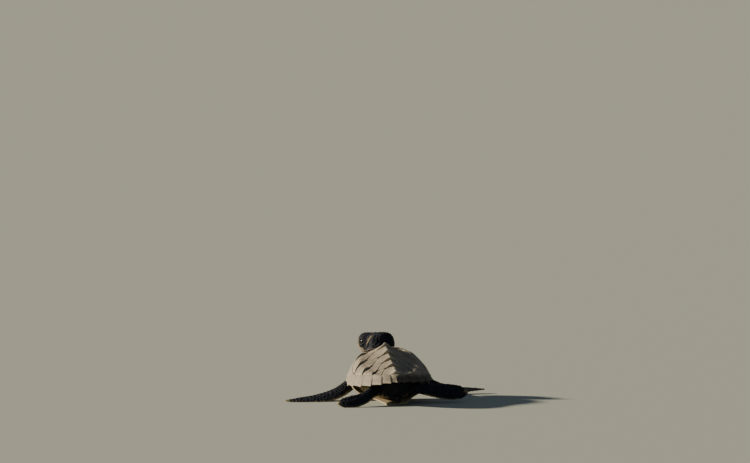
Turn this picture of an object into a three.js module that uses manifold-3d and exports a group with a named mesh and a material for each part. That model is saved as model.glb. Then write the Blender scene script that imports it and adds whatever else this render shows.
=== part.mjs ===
// Loggerhead turtle hatchling, crawling on level ground: a still, life-size model.
// Millimetres, +Z up. The head points along +Y, and the left flippers lie towards -X.
// The shell is drawn in a body frame whose plane h = 0 is the flat of the plastron; that
// frame is then pitched nose up and rolled a little. Limbs and head are placed in the world.
import * as THREE from "three";
import { mergeVertices } from "three/addons/utils/BufferGeometryUtils.js";
import Module from "manifold-3d";

const wasm = await Module();
wasm.setup();

// ---- Driving dimensions --------------------------------------------------------------

const GAP = 0.2; // cut between neighbouring pieces

const SHELL_HALF_WIDTH = 17.5;
const SHELL_WIDEST_Y = 3;
const SHELL_FRONT = 19.5; // from the widest line to the nuchal edge
const SHELL_REAR = 25.5; // from the widest line to the supracaudal notch
const OUTLINE_FRONT = 2.2; // how full the outline is towards the front
const RIM_SIDE = 2.6; // breadth of the marginal plates, at the side, front and rear
const RIM_FRONT = 2.8;
const RIM_REAR = 3.6;
const PLATE = 1.0; // thickness of a carapace plate
const MARGIN_HEIGHT = 6.5; // lowest point of the margin above the plastron's flat
const MARGIN_LOW_Y = 1;
const MARGIN_RISE_FRONT = 7;
const MARGIN_RISE_REAR = 6.9;
const KEEL_TOOTH = 1.2; // height of the knob at the back of each vertebral plate
const COSTAL_TOOTH = 0.5;
const COSTAL_KEEL = 0.67; // the costal keel's place, from the middle to the edge
const SAW = 0.7; // how far each marginal's rear corner stands out
const RIM_CURL = 0.5; // how far the marginals' upper face curls down at the outer edge
const RIM_DROOP = 1.0; // how far the whole rim bends down at its edge, over the rear limbs

const PITCH = THREE.MathUtils.degToRad(9);
const ROLL = THREE.MathUtils.degToRad(-3.5);
const BODY_AT = [0.9, 0, 2.5];

const PLASTRON_FRONT = 15.5;
const PLASTRON_REAR = -18.5;
const PLASTRON_PLATE = 1.1;

const HEAD_LENGTH = 16.2;
const HEAD_YAW = THREE.MathUtils.degToRad(37);
const HEAD_PITCH = THREE.MathUtils.degToRad(6);
const HEAD_AT = [-1.35, 30.4, 20.7];
const EYE_RADIUS = 1.95;

// ---- Small tools ---------------------------------------------------------------------

const v3 = (x, y, z) => new THREE.Vector3(x, y, z);
const lerp = THREE.MathUtils.lerp;
const clamp01 = (t) => THREE.MathUtils.clamp(t, 0, 1);
const smooth = (t, a, b) => THREE.MathUtils.smoothstep(t, a, b);

// A smooth value through a few [place, value] knots.
function through(knots, s) {
  const last = knots.length - 2;
  let i = 0;
  while (i < last && s > knots[i + 1][0]) i++;
  const at = (k) => knots[THREE.MathUtils.clamp(k, 0, knots.length - 1)];
  const slope = (k) => {
    const [a, b] = [at(k - 1), at(k + 1)];
    return (b[1] - a[1]) / (b[0] - a[0]);
  };
  const [x0, y0] = at(i);
  const [x1, y1] = at(i + 1);
  const h = x1 - x0;
  const t = clamp01((s - x0) / h);
  const [t2, t3] = [t * t, t * t * t];
  return (
    (2 * t3 - 3 * t2 + 1) * y0 +
    (t3 - 2 * t2 + t) * h * slope(i) +
    (3 * t2 - 2 * t3) * y1 +
    (t3 - t2) * h * slope(i + 1)
  );
}

// A round cap at each end of a loft: 0 at the tip, 1 once the cap's length is passed.
function capped(s, first, last) {
  const end = Math.min(first > 0 ? s / first : 1, last > 0 ? (1 - s) / last : 1, 1);
  return Math.sqrt(Math.max(0, 1 - (1 - end) ** 2));
}

// A manifold solid from a geometry whose vertices close on themselves.
function solidOf(geometry) {
  const bare = geometry.clone();
  bare.deleteAttribute("normal");
  bare.deleteAttribute("uv");
  const merged = mergeVertices(bare, 1e-4);
  const build = (index) =>
    new wasm.Manifold(
      new wasm.Mesh({
        numProp: 3,
        vertProperties: new Float32Array(merged.attributes.position.array),
        triVerts: new Uint32Array(index),
      }),
    );
  const index = Array.from(merged.index.array);
  const made = build(index);
  return made.volume() > 0 ? made : build(index.reverse());
}

// A solid back to a three.js geometry.
function geometryOf(solid) {
  const mesh = solid.getMesh();
  return new THREE.BufferGeometry()
    .setAttribute("position", new THREE.BufferAttribute(new Float32Array(mesh.vertProperties), 3))
    .setIndex(new THREE.BufferAttribute(new Uint32Array(mesh.triVerts), 1))
    .toNonIndexed();
}

const moved = (solid, matrix) => solid.transform(matrix.elements);
const above = (solid, height) => solid.trimByPlane([0, 0, 1], height);

// Moves every vertex of a geometry to place(vertex).
function reshaped(geometry, place) {
  const position = geometry.attributes.position;
  const p = new THREE.Vector3();
  for (let i = 0; i < position.count; i++) {
    place(p.fromBufferAttribute(position, i));
    position.setXYZ(i, p.x, p.y, p.z);
  }
  return geometry;
}

// A plate between two surfaces: plan(p, q) gives x and y, top and bottom the heights there.
// q runs from the plate's front to its rear.
function plate(columns, rows, plan, top, bottom) {
  const box = new THREE.BoxGeometry(1, 1, 1, columns, rows, 1);
  return solidOf(
    reshaped(box, (v) => {
      const q = v.y + 0.5;
      const [x, y] = plan(v.x + 0.5, q);
      v.set(x, y, v.z > 0 ? top(x, y, q) : bottom(x, y));
    }),
  );
}

// A closed loft. section(s) returns a centre, two unit directions and three radii:
// across, up and down. lead thickens the side towards +across; power above 2 squares the
// section's shoulders.
function loft(around, along, section) {
  const ball = new THREE.SphereGeometry(1, around, along);
  return solidOf(
    reshaped(ball, (v) => {
      const s = (1 - v.y) / 2;
      const ring = Math.hypot(v.x, v.z);
      const k = section(s);
      const square = (t) => Math.sign(t) * Math.abs(t) ** (2 / (k.power ?? 2));
      const [c, d] = ring > 1e-6 ? [square(v.x / ring), square(v.z / ring)] : [0, 0];
      const height = (d > 0 ? k.up : k.down) * d * (1 + (k.lead ?? 0) * c);
      v.copy(k.centre).addScaledVector(k.across, k.wide * c).addScaledVector(k.rise, height);
    }),
  );
}

// ---- The carapace's form, in the body frame --------------------------------------------

const outlineShape = (t) =>
  t > 0 ? Math.sqrt(Math.max(0, 1 - t ** OUTLINE_FRONT)) : Math.max(0, 1 - t * t) ** 0.7;

// A point of the outline: angle 0 is the nuchal edge, pi the tail end; inset moves inwards,
// from 0 at the outer edge to 1 at the marginals' inner seam.
function outline(angle, inset = 0) {
  const t = Math.cos(angle);
  const reach = t > 0 ? SHELL_FRONT - inset * RIM_FRONT : SHELL_REAR - inset * RIM_REAR;
  const width = (SHELL_HALF_WIDTH - inset * RIM_SIDE) * outlineShape(t);
  return [width, SHELL_WIDEST_Y + reach * t];
}

function halfWidth(y, inset = 0) {
  const d = y - SHELL_WIDEST_Y;
  const reach = d > 0 ? SHELL_FRONT - inset * RIM_FRONT : SHELL_REAR - inset * RIM_REAR;
  const t = THREE.MathUtils.clamp(d / reach, -1, 1);
  return (SHELL_HALF_WIDTH - inset * RIM_SIDE) * outlineShape(t);
}

function marginHeight(y) {
  const d = y - MARGIN_LOW_Y;
  return d > 0
    ? MARGIN_HEIGHT + MARGIN_RISE_FRONT * (d / 21.5) ** 2
    : MARGIN_HEIGHT + MARGIN_RISE_REAR * (-d / 23.5) ** 1.3;
}

// Height of the middle keel above the margin: highest over the shoulders, sloping evenly to
// the rear.
const RIDGE = [
  [-22.5, 0],
  [-15.3, 3.5],
  [-9.2, 6.2],
  [-2.6, 8.95],
  [4.2, 10.45],
  [11.6, 9.9],
  [18.9, 5.0],
  [22.5, 0],
];

// The cross-section: a raised middle keel, a nearly flat back, and steep straight flanks
// below the costal keel.
const SECTION = [
  [0, 1],
  [0.13, 0.91],
  [0.3, 0.81],
  [0.5, 0.75],
  [0.65, 0.67],
  [0.76, 0.53],
  [0.88, 0.27],
  [1, 0],
];

// Height of the dome without its plates' knobs.
function dome(x, y) {
  const w = halfWidth(y);
  const s = w > 0.01 ? Math.min(1, Math.abs(x) / w) : 1;
  return marginHeight(y) + through(RIDGE, y) * through(SECTION, s);
}

// Seams between the vertebral plates, front to rear, and the half-width of each plate at its
// corners and at its side points.
const VERTEBRAL_SEAMS = [18.7, 11.6, 4.2, -2.6, -9.2, -15.3];
const VERTEBRAL_CORNER = [5.2, 4.3, 3.9, 3.5, 3.0];
const VERTEBRAL_SIDE = [7.4, 8.9, 7.9, 6.5, 4.7];
const SIDE_POINT_Y = [14.2, 5.8, -1.6, -8.0, -12.4];
const COSTAL_SEAM_Y = [18.4, 10.6, 1.6, -6.6, -12.4, -15.6]; // where costal seams meet the rim

// A plate's upper face. t runs from 0 at its front seam to 1 at its rear one: the knob on the
// plate's keel grows towards the rear edge and ends there in a step.
function carapaceTop(x, y, t = 0) {
  const w = halfWidth(y);
  const keel = KEEL_TOOTH * Math.exp(-((x / 1.7) ** 2)) * smooth(w, 3, 9);
  const costal = COSTAL_TOOTH * Math.exp(-(((Math.abs(x) - COSTAL_KEEL * w) / 1.5) ** 2)) * smooth(w, 8, 13);
  return dome(x, y) + (keel + costal) * t ** 1.6;
}

const carapaceUnder = (x, y) => dome(x, y) - PLATE;

// 1 along the bridge, where the shell's two halves meet, and 0 over the limbs.
const bridge = (y) => smooth(y, -11, -6) * (1 - smooth(y, 8, 13));

// ---- Carapace plates -------------------------------------------------------------------

const shellPlates = {};

// A piecewise line through a few plan points, at q from 0 to 1.
function along(points, q) {
  const t = clamp01(q) * (points.length - 1);
  const i = Math.min(Math.floor(t), points.length - 2);
  return points[i].map((value, k) => lerp(value, points[i + 1][k], t - i));
}

// Where the marginals' inner seam crosses x, at the front or the rear.
function rimSeamY(x, front) {
  const part = Math.min(1, Math.abs(x) / (SHELL_HALF_WIDTH - RIM_SIDE));
  return front
    ? SHELL_WIDEST_Y + (SHELL_FRONT - RIM_FRONT) * (1 - part ** 2) ** (1 / OUTLINE_FRONT)
    : SHELL_WIDEST_Y - (SHELL_REAR - RIM_REAR) * Math.sqrt(1 - part ** (1 / 0.7));
}

// Keeps a plate half a gap inside its seams, on a plate of that size.
const inset = (t, size) => lerp(GAP / 2 / size, 1 - GAP / 2 / size, t);

// The half-width of vertebral i at its front seam, side point and rear seam. The last one
// fans out to the marginals.
const LAST_CORNER = halfWidth(COSTAL_SEAM_Y[5], 1);
const vertebralSide = (i) => [
  [VERTEBRAL_CORNER[i], VERTEBRAL_SEAMS[i]],
  [VERTEBRAL_SIDE[i], SIDE_POINT_Y[i]],
  i < 4 ? [VERTEBRAL_CORNER[i + 1], VERTEBRAL_SEAMS[i + 1]] : [LAST_CORNER, COSTAL_SEAM_Y[5]],
];

for (let i = 0; i < 5; i++) {
  const [y0, y1] = [VERTEBRAL_SEAMS[i], VERTEBRAL_SEAMS[i + 1]];
  const plan = (p, q) => {
    const down = inset(q, y0 - y1);
    const [width, y] = along(vertebralSide(i), down);
    const u = 2 * inset(p, 2 * width) - 1;
    const bow = (half, front) => rimSeamY(u * half, front) - rimSeamY(half, front);
    const front = i === 0 ? (1 - down) * bow(VERTEBRAL_CORNER[0], true) : 0;
    const rear = i === 4 ? down * bow(LAST_CORNER, false) : 0;
    return [u * width, y + front + rear];
  };
  const top = (x, y) => carapaceTop(x, y, clamp01((y0 - y) / (y0 - y1)));
  shellPlates[`vertebral_${i + 1}`] = plate(6, 6, plan, top, carapaceUnder);
}

for (const [side, name] of [[-1, "left"], [1, "right"]]) {
  for (let i = 0; i < 5; i++) {
    const before = i > 0 ? vertebralSide(i - 1).slice(1) : [vertebralSide(0)[0]];
    const middle = [...before, vertebralSide(i)[1]];
    const [y0, y1] = [COSTAL_SEAM_Y[i], COSTAL_SEAM_Y[i + 1]];
    const plan = (p, q) => {
      const down = inset(q, y0 - y1);
      const inner = along(middle, down);
      const rimY = lerp(y0, y1, down);
      const outer = [halfWidth(rimY, 1), rimY];
      const reach = Math.max(1.5, Math.hypot(outer[0] - inner[0], outer[1] - inner[1]));
      const across = inset(p, reach);
      return [side * lerp(inner[0], outer[0], across), lerp(inner[1], outer[1], across)];
    };
    shellPlates[`costal_${name}_${i + 1}`] = plate(6, 4, plan, carapaceTop, carapaceUnder);
  }
}

// The rim: twelve marginals a side, grown together, each with its rear corner standing out.
const NUCHAL_ANGLE = THREE.MathUtils.degToRad(12);
const MARGINALS = 12;
const STEPS = 3; // facets along each marginal

function rimPoint(k, r) {
  const angle = lerp(NUCHAL_ANGLE, Math.PI, k / MARGINALS);
  const end = k / MARGINALS;
  const saw = SAW * (0.4 + 0.9 * end) * ((k % 1) ** 2) * r;
  const [x, y] = outline(angle, 1 - r);
  const [ox, oy] = [x, y - SHELL_WIDEST_Y];
  const length = Math.hypot(ox, oy);
  return [x + (saw * ox) / length, y + (saw * oy) / length];
}

const droop = (y, r) => RIM_DROOP * smooth(-y, 2, 18) * r ** 2;

function rimUnder(x, y, r) {
  const wedge = marginHeight(y) - lerp(0.35, 1.0, r);
  const edge = dome(x, y) - lerp(PLATE, 1.0, r) - droop(y, r);
  return lerp(edge, Math.min(wedge, edge), bridge(y));
}

function rimSolid(side, grow) {
  const box = new THREE.BoxGeometry(1, 1, 1, MARGINALS * STEPS, 3, 1);
  return solidOf(
    reshaped(box, (v) => {
      const k = lerp(0.03, MARGINALS - 0.08, v.x + 0.5);
      const r = lerp(0.04, 1, v.y + 0.5);
      const [x, y] = rimPoint(k, r);
      const top = carapaceTop(x, y) - RIM_CURL * r ** 3 - droop(y, r);
      const height = v.z > 0 ? top + grow : rimUnder(x, y, r) - grow;
      const out = v3(x, y - SHELL_WIDEST_Y, 0).setLength(v.y > 0 ? grow : -grow);
      v.set(side * (x + out.x), y + out.y, height);
    }),
  );
}
shellPlates.marginals_left = rimSolid(-1, 0);
shellPlates.marginals_right = rimSolid(1, 0);

const nuchalPlan = (p, q) => {
  const angle = NUCHAL_ANGLE * (0.94 * (2 * p - 1));
  const [x, y] = outline(Math.abs(angle), inset(q, RIM_FRONT));
  return [Math.sign(angle) * x, y];
};
shellPlates.nuchal = plate(6, 3, nuchalPlan, (x, y) => carapaceTop(x, y), carapaceUnder);

// ---- Plastron --------------------------------------------------------------------------

const PLASTRON_SIDE = [
  [-18.5, 4.2],
  [-14, 5.9],
  [-9, 8.6],
  [-5, 14.4],
  [0, 16.2],
  [5, 15.8],
  [9, 11.4],
  [13, 7.6],
  [15.5, 4.4],
];
const plastronHalf = (y) => through(PLASTRON_SIDE, y);
const plastronUnder = (x, y) =>
  4.0 * (Math.abs(x) / 16.2) ** 3 + 1.6 * Math.max(0, (y - 9) / 6.5) ** 2;
const plastronTop = (x, y) => plastronUnder(x, y) + PLASTRON_PLATE;

const plastronPlan = (p, q) => {
  const y = lerp(PLASTRON_REAR, PLASTRON_FRONT, q);
  return [(2 * p - 1) * plastronHalf(y), y];
};
const plastronBody = plate(8, 14, plastronPlan, plastronTop, plastronUnder);

// ---- From body frame to world ------------------------------------------------------------

const bodyFrame = new THREE.Matrix4()
  .makeTranslation(...BODY_AT)
  .multiply(new THREE.Matrix4().makeRotationX(PITCH))
  .multiply(new THREE.Matrix4().makeRotationY(ROLL));
const inBody = (x, y, h) => v3(x, y, h).applyMatrix4(bodyFrame);

const plastron = above(moved(plastronBody, bodyFrame), 0);

// ---- Trunk -------------------------------------------------------------------------------

// Soft body between the two shells: full along the bridge, drawn in where the limbs leave it.
function trunkSolid(grow) {
  const ball = new THREE.SphereGeometry(1, 24, 12);
  const body = reshaped(ball, (v) => {
    const height = v.y;
    const angle = Math.atan2(v.x, v.z);
    const spread = Math.sqrt(Math.max(0, 1 - height * height)) ** 0.75;
    const [wide, y0] = outline(Math.abs(angle), 1.08);
    const waist = lerp(0.76, 0.965, bridge(y0));
    const y = SHELL_WIDEST_Y - 0.5 + (y0 - SHELL_WIDEST_Y) * spread * 0.93;
    const x = Math.sign(angle) * wide * waist * spread;
    const [roof, floor] = [carapaceUnder(x, y) - GAP, plastronTop(x, y) + GAP];
    const middle = lerp(floor, roof, 0.35);
    const z = height > 0 ? lerp(middle, roof, height ** 0.45) : lerp(middle, floor, (-height) ** 0.4);
    const out = v3(x, y - SHELL_WIDEST_Y, 0).setLength(grow);
    v.set(x + out.x, y + out.y, z + Math.sign(height) * grow * 0.6);
  });
  return moved(solidOf(body), bodyFrame);
}

// ---- Head --------------------------------------------------------------------------------

const headFrame = new THREE.Matrix4()
  .makeTranslation(...HEAD_AT)
  .multiply(new THREE.Matrix4().makeRotationZ(HEAD_YAW))
  .multiply(new THREE.Matrix4().makeRotationX(HEAD_PITCH));

// Profiles from the occiput (0) to the beak's tip (1).
const HEAD_WIDE = [[0, 4.4], [0.14, 5.2], [0.34, 6.1], [0.56, 6.0], [0.76, 5.0], [0.92, 3.8], [1, 3.0]];
const HEAD_CROWN = [[0, 4.9], [0.16, 6.1], [0.4, 5.5], [0.6, 4.6], [0.78, 4.3], [0.92, 3.8], [1, 2.6]];
const HEAD_JAW = [[0, 3.8], [0.2, 5.2], [0.45, 5.4], [0.7, 4.7], [0.88, 4.0], [1, 3.3]];

function headSolid(grow) {
  const solid = loft(20, 16, (s) => {
    const cap = capped(s, 0.14, 0.1);
    return {
      centre: v3(0, (s - 0.5) * (HEAD_LENGTH + 2 * grow), 0),
      across: v3(1, 0, 0),
      rise: v3(0, 0, 1),
      wide: through(HEAD_WIDE, s) * cap + grow,
      up: through(HEAD_CROWN, s) * cap + grow,
      down: through(HEAD_JAW, s) * cap + grow,
      power: 2.7,
    };
  });
  return solid;
}

// A box in the head's frame, from one corner to the other.
function block(low, high) {
  const size = high.map((value, k) => value - low[k]);
  const centre = high.map((value, k) => (value + low[k]) / 2);
  return solidOf(new THREE.BoxGeometry(...size).translate(...centre));
}

const MOUTH_HEIGHT = -1.9;
const MOUTH_TILT = THREE.MathUtils.degToRad(-9);
const JAW_BACK = 0.4; // the mouth's corner, ahead of the head's middle
const BEAK_BACK = 4.9;

// Everything below the mouth's line and ahead of its corner, drawn in by clear.
function jawRegion(clear, front = 12) {
  const box = block([-9, JAW_BACK + clear, -12], [9, front, MOUTH_HEIGHT - clear]);
  return moved(box, new THREE.Matrix4().makeRotationX(MOUTH_TILT));
}

const wholeHead = headSolid(0);
const eyeAt = (side) => v3(side * 4.35, 2.0, 1.1);
const eyeBall = (radius, side) =>
  solidOf(new THREE.SphereGeometry(radius, 12, 8).translate(...eyeAt(side)));
const beakFront = (clear) => block([-9, BEAK_BACK + clear, -12], [9, 12, 12]);

const upperHead = wholeHead
  .subtract(jawRegion(0))
  .subtract(eyeBall(EYE_RADIUS + GAP / 2, -1))
  .subtract(eyeBall(EYE_RADIUS + GAP / 2, 1));
const jaw = wholeHead.intersect(jawRegion(GAP));

const headPieces = {
  head: upperHead.subtract(beakFront(-GAP / 2)),
  upper_beak: upperHead.intersect(beakFront(GAP / 2)),
  lower_jaw: jaw.subtract(beakFront(-GAP / 2)),
  lower_beak: jaw.intersect(beakFront(GAP / 2)),
  eye_left: eyeBall(EYE_RADIUS, -1),
  eye_right: eyeBall(EYE_RADIUS, 1),
};

// ---- Neck and tail -----------------------------------------------------------------------

// A round limb along a curve, wide across and tall, with round ends.
function tube(points, wide, tall, caps, around = 16, steps = 12) {
  const curve = new THREE.CatmullRomCurve3(points.map((p) => v3(...p)));
  return loft(around, steps, (s) => {
    const along = curve.getTangent(s);
    const across = v3(0, 0, 1).cross(along).normalize().negate();
    const cap = capped(s, caps[0], caps[1]);
    const high = through(tall, s) * cap;
    return {
      centre: curve.getPoint(s),
      across,
      rise: across.clone().cross(along).normalize(),
      wide: through(wide, s) * cap,
      up: high,
      down: high,
    };
  });
}

const neckTube = tube(
  [[0, 11, 11.5], [0, 16.5, 13.6], [-0.2, 21.2, 16.6], [-0.9, 26.5, 20.0]],
  [[0, 6.2], [0.4, 5.9], [1, 5.2]],
  [[0, 4.6], [0.4, 4.5], [1, 4.2]],
  [0.1, 0.1],
);
const tailTube = tube(
  [[0.2, -12.5, 5.0], [0.6, -17, 3.4], [1.3, -21.2, 1.5]],
  [[0, 2.6], [0.5, 1.9], [1, 0.8]],
  [[0, 2.2], [0.5, 1.6], [1, 0.7]],
  [0.1, 0.12],
  12,
  8,
);

// The space that the carapace's plates take up, with the cut below them.
const shellSpace = moved(
  solidOf(
    reshaped(new THREE.SphereGeometry(1, 40, 20), (v) => {
      const angle = Math.atan2(v.x, v.z);
      const spread = Math.sqrt(Math.max(0, 1 - v.y * v.y)) ** 0.6;
      const [wide, y0] = outline(Math.abs(angle), -0.12);
      const x = Math.sign(angle) * wide * spread;
      const y = SHELL_WIDEST_Y + (y0 - SHELL_WIDEST_Y) * spread;
      const under = carapaceUnder(x, y) - GAP;
      v.set(x, y, v.y < 0 ? under : under + 16 * Math.max(0.12, v.y) ** 0.2);
    }),
  ),
  bodyFrame,
);

const rimSpace = moved(rimSolid(-1, GAP).add(rimSolid(1, GAP)), bodyFrame);
const trunkSpace = trunkSolid(GAP);
const headSpace = moved(headSolid(GAP), headFrame);
const plastronSpace = moved(
  plate(
    12,
    18,
    (p, q) => {
      const y = lerp(PLASTRON_REAR - GAP, PLASTRON_FRONT + GAP, q);
      return [(2 * p - 1) * (plastronHalf(y) + GAP), y];
    },
    (x, y) => plastronTop(x, y) + GAP,
    (x, y) => plastronUnder(x, y) - 6,
  ),
  bodyFrame,
);

// ---- Limbs -------------------------------------------------------------------------------

// A flipper: a blade along a curve. lean holds the blade's turn about its own length in
// degrees at a few places: positive lifts the leading edge.
function flipper({ path, chord, thick, lean, forward, caps, steps = 18 }) {
  const curve = new THREE.CatmullRomCurve3(path.map((p) => v3(...p)));
  const lead = v3(...forward);
  const section = (s) => {
    const along = curve.getTangent(s);
    const across = lead.clone().addScaledVector(along, -lead.dot(along)).normalize();
    const rise = across.clone().cross(along).normalize();
    if (rise.z < 0) rise.negate();
    const turn = THREE.MathUtils.degToRad(through(lean, s));
    const edge = across.clone().multiplyScalar(Math.cos(turn)).addScaledVector(rise, Math.sin(turn));
    const up = rise.clone().multiplyScalar(Math.cos(turn)).addScaledVector(across, -Math.sin(turn));
    const cap = capped(s, caps[0], caps[1]);
    const half = (through(thick, s) * Math.min(1, cap * 1.2)) / 2;
    return {
      centre: curve.getPoint(s),
      across: edge,
      rise: up,
      wide: (through(chord, s) * cap) / 2,
      up: half,
      down: half,
      lead: 0.3,
    };
  };
  return { solid: loft(14, steps, section), curve, section };
}

const FRONT_CHORD = [[0, 6.2], [0.16, 6.0], [0.32, 6.6], [0.5, 8.4], [0.66, 8.0], [0.84, 5.2], [1, 2.4]];
const FRONT_THICK = [[0, 6.0], [0.16, 5.2], [0.32, 3.8], [0.5, 2.2], [0.7, 1.5], [1, 0.7]];
const REAR_CHORD = [[0, 5.2], [0.25, 4.9], [0.45, 5.9], [0.7, 7.5], [0.88, 6.4], [1, 3.4]];
const REAR_THICK = [[0, 4.8], [0.25, 4.0], [0.45, 2.6], [0.7, 1.5], [1, 0.8]];

const LIMBS = {
  front_left: {
    path: [
      [-8.5, 13.5, 8.8],
      [-14, 10.6, 6.1],
      [-20, 6.6, 2.95],
      [-28, 3.0, 1.1],
      [-36, 2.0, 0.75],
      [-43.6, 1.5, 0.45],
    ],
    chord: FRONT_CHORD,
    thick: FRONT_THICK,
    lean: [[0, 8], [0.25, 20], [0.5, 18], [0.75, 12], [1, 4]],
    forward: [-0.25, 1, 0],
    caps: [0.08, 0.1],
    joint: 0.3,
    claws: [0.56, 1],
  },
  front_right: {
    path: [
      [8.5, 14, 9.0],
      [14, 16.4, 7.4],
      [20.5, 19.4, 4.4],
      [28, 22.4, 1.65],
      [36.5, 24.4, 1.7],
      [45.0, 25.4, 1.75],
    ],
    chord: FRONT_CHORD,
    thick: FRONT_THICK,
    lean: [[0, 6], [0.25, 26], [0.5, 33], [0.75, 14], [1, 2]],
    forward: [-0.2, 1, 0],
    caps: [0.08, 0.1],
    joint: 0.3,
    claws: [0.56, 1],
  },
  rear_left: {
    path: [
      [-6.5, -11.5, 6.0],
      [-9.5, -15.5, 4.7],
      [-13.5, -19.4, 3.0],
      [-19, -22.2, 1.9],
      [-24.9, -22.9, 1.4],
    ],
    chord: REAR_CHORD,
    thick: REAR_THICK,
    lean: [[0, 16], [0.4, 33], [0.7, 33], [1, 32]],
    forward: [-0.45, 1, 0],
    caps: [0.1, 0.14],
    joint: 0.34,
    claws: [0.62, 1],
  },
  rear_right: {
    path: [
      [6.5, -12, 6.4],
      [11, -13.2, 6.0],
      [17, -12.6, 5.2],
      [24.5, -10.8, 4.4],
      [32.4, -8.6, 4.1],
    ],
    chord: REAR_CHORD,
    thick: REAR_THICK,
    lean: [[0, 22], [0.4, 54], [0.7, 60], [1, 58]],
    forward: [0.1, 1, 0],
    caps: [0.1, 0.14],
    joint: 0.34,
    claws: [0.62, 1],
  },
};

const CLAW_LENGTH = 1.2;
const CLAW_RADIUS = 0.38;

// A claw at the leading edge, pointing out along the blade and towards its tip.
function clawSolid({ section, curve }, s, size) {
  const { centre, across, wide } = section(s);
  const point = across.clone().multiplyScalar(0.5).addScaledVector(curve.getTangent(s), 0.85);
  const length = CLAW_LENGTH * size;
  const cone = new THREE.ConeGeometry(CLAW_RADIUS * size, length, 8).translate(0, length / 2, 0);
  cone.applyQuaternion(new THREE.Quaternion().setFromUnitVectors(v3(0, 1, 0), point.normalize()));
  const foot = centre.clone().addScaledVector(across, wide * 0.97);
  return solidOf(cone.translate(foot.x, foot.y, foot.z));
}

const limbPieces = {};
for (const [name, limb] of Object.entries(LIMBS)) {
  const made = flipper(limb);
  const clear = made.solid
    .subtract(trunkSpace)
    .subtract(shellSpace)
    .subtract(rimSpace)
    .subtract(plastronSpace);
  const whole = above(clear, 0)
    .decompose()
    .sort((a, b) => b.volume() - a.volume())[0];
  const at = made.curve.getPoint(limb.joint);
  const normal = made.curve.getTangent(limb.joint).toArray();
  const offset = at.dot(v3(...normal));
  const [kind, side] = name.split("_");
  const outer = whole.trimByPlane(normal, offset + GAP / 2);
  const inner = whole.trimByPlane(
    normal.map((n) => -n),
    -(offset - GAP / 2),
  );
  const claw = clawSolid(made, ...limb.claws);
  limbPieces[`${kind === "front" ? "upper_arm" : "thigh"}_${side}`] = inner;
  limbPieces[`${kind}_flipper_${side}`] = outer;
  limbPieces[`claw_${kind}_${side}`] = above(claw.subtract(outer), 0);
}

// ---- The animal --------------------------------------------------------------------------

const finish = (color, roughness) =>
  new THREE.MeshStandardMaterial({ color, roughness, metalness: 0 });
const materials = {
  shell: finish(0x6e6459, 0.8),
  plastron: finish(0x8d7c60, 0.75),
  skin: finish(0x3a3631, 0.85),
  horn: finish(0x4b4238, 0.5),
  eye: finish(0x0c0b0a, 0.1),
};

const animal = new THREE.Group();
function add(parent, name, solid, material) {
  const mesh = new THREE.Mesh(geometryOf(solid), material);
  mesh.name = name;
  parent.add(mesh);
}

const shell = new THREE.Group();
bodyFrame.decompose(shell.position, shell.quaternion, shell.scale);
for (const [name, solid] of Object.entries(shellPlates)) add(shell, name, solid, materials.shell);
animal.add(shell);

const head = new THREE.Group();
headFrame.decompose(head.position, head.quaternion, head.scale);
for (const [name, solid] of Object.entries(headPieces)) {
  const horny = name.includes("beak") ? materials.horn : materials.skin;
  add(head, name, solid, name.startsWith("eye") ? materials.eye : horny);
}
animal.add(head);

add(animal, "plastron", plastron, materials.plastron);
add(animal, "trunk", above(trunkSolid(0), 0), materials.skin);
const neck = neckTube.subtract(trunkSpace).subtract(headSpace).subtract(shellSpace);
add(animal, "neck", neck, materials.skin);
const tail = above(tailTube.subtract(trunkSpace).subtract(plastronSpace).subtract(shellSpace), 0);
add(animal, "tail", tail, materials.skin);
for (const [name, solid] of Object.entries(limbPieces)) {
  add(animal, name, solid, name.startsWith("claw") ? materials.horn : materials.skin);
}

// The origin is on the floor, under the middle of the animal's whole box.
animal.updateMatrixWorld(true);
const middle = new THREE.Box3().setFromObject(animal, true).getCenter(new THREE.Vector3());
animal.position.set(-middle.x, -middle.y, 0);
const part = new THREE.Group();
part.add(animal);
export default part;
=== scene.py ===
import math

import bpy
import numpy as np
from mathutils import Matrix, Vector
from mathutils.bvhtree import BVHTree
from mathutils.kdtree import KDTree


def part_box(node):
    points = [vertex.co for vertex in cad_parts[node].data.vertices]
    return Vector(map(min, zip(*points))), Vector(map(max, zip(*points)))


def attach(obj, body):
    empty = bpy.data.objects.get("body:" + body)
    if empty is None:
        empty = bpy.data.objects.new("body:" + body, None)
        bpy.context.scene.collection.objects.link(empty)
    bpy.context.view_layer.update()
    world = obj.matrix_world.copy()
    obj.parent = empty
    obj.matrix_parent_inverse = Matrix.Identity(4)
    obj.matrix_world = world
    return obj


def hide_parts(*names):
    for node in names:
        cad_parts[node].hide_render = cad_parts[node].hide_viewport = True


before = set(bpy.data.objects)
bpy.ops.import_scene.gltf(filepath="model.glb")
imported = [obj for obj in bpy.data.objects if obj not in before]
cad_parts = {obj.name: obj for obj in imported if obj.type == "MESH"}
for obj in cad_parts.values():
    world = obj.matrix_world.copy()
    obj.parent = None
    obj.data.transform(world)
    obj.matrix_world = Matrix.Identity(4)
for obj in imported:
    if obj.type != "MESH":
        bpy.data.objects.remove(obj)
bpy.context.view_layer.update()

# ---- Carapace plates ---------------------------------------------------------------------
# Sixteen horny plates cover the back: a nuchal at the neck, five vertebrals down the middle
# and five costals a side. Each is dry keratin over bone, with a knob that grows towards its
# rear edge, so that three broken keels run down the shell.

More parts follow.
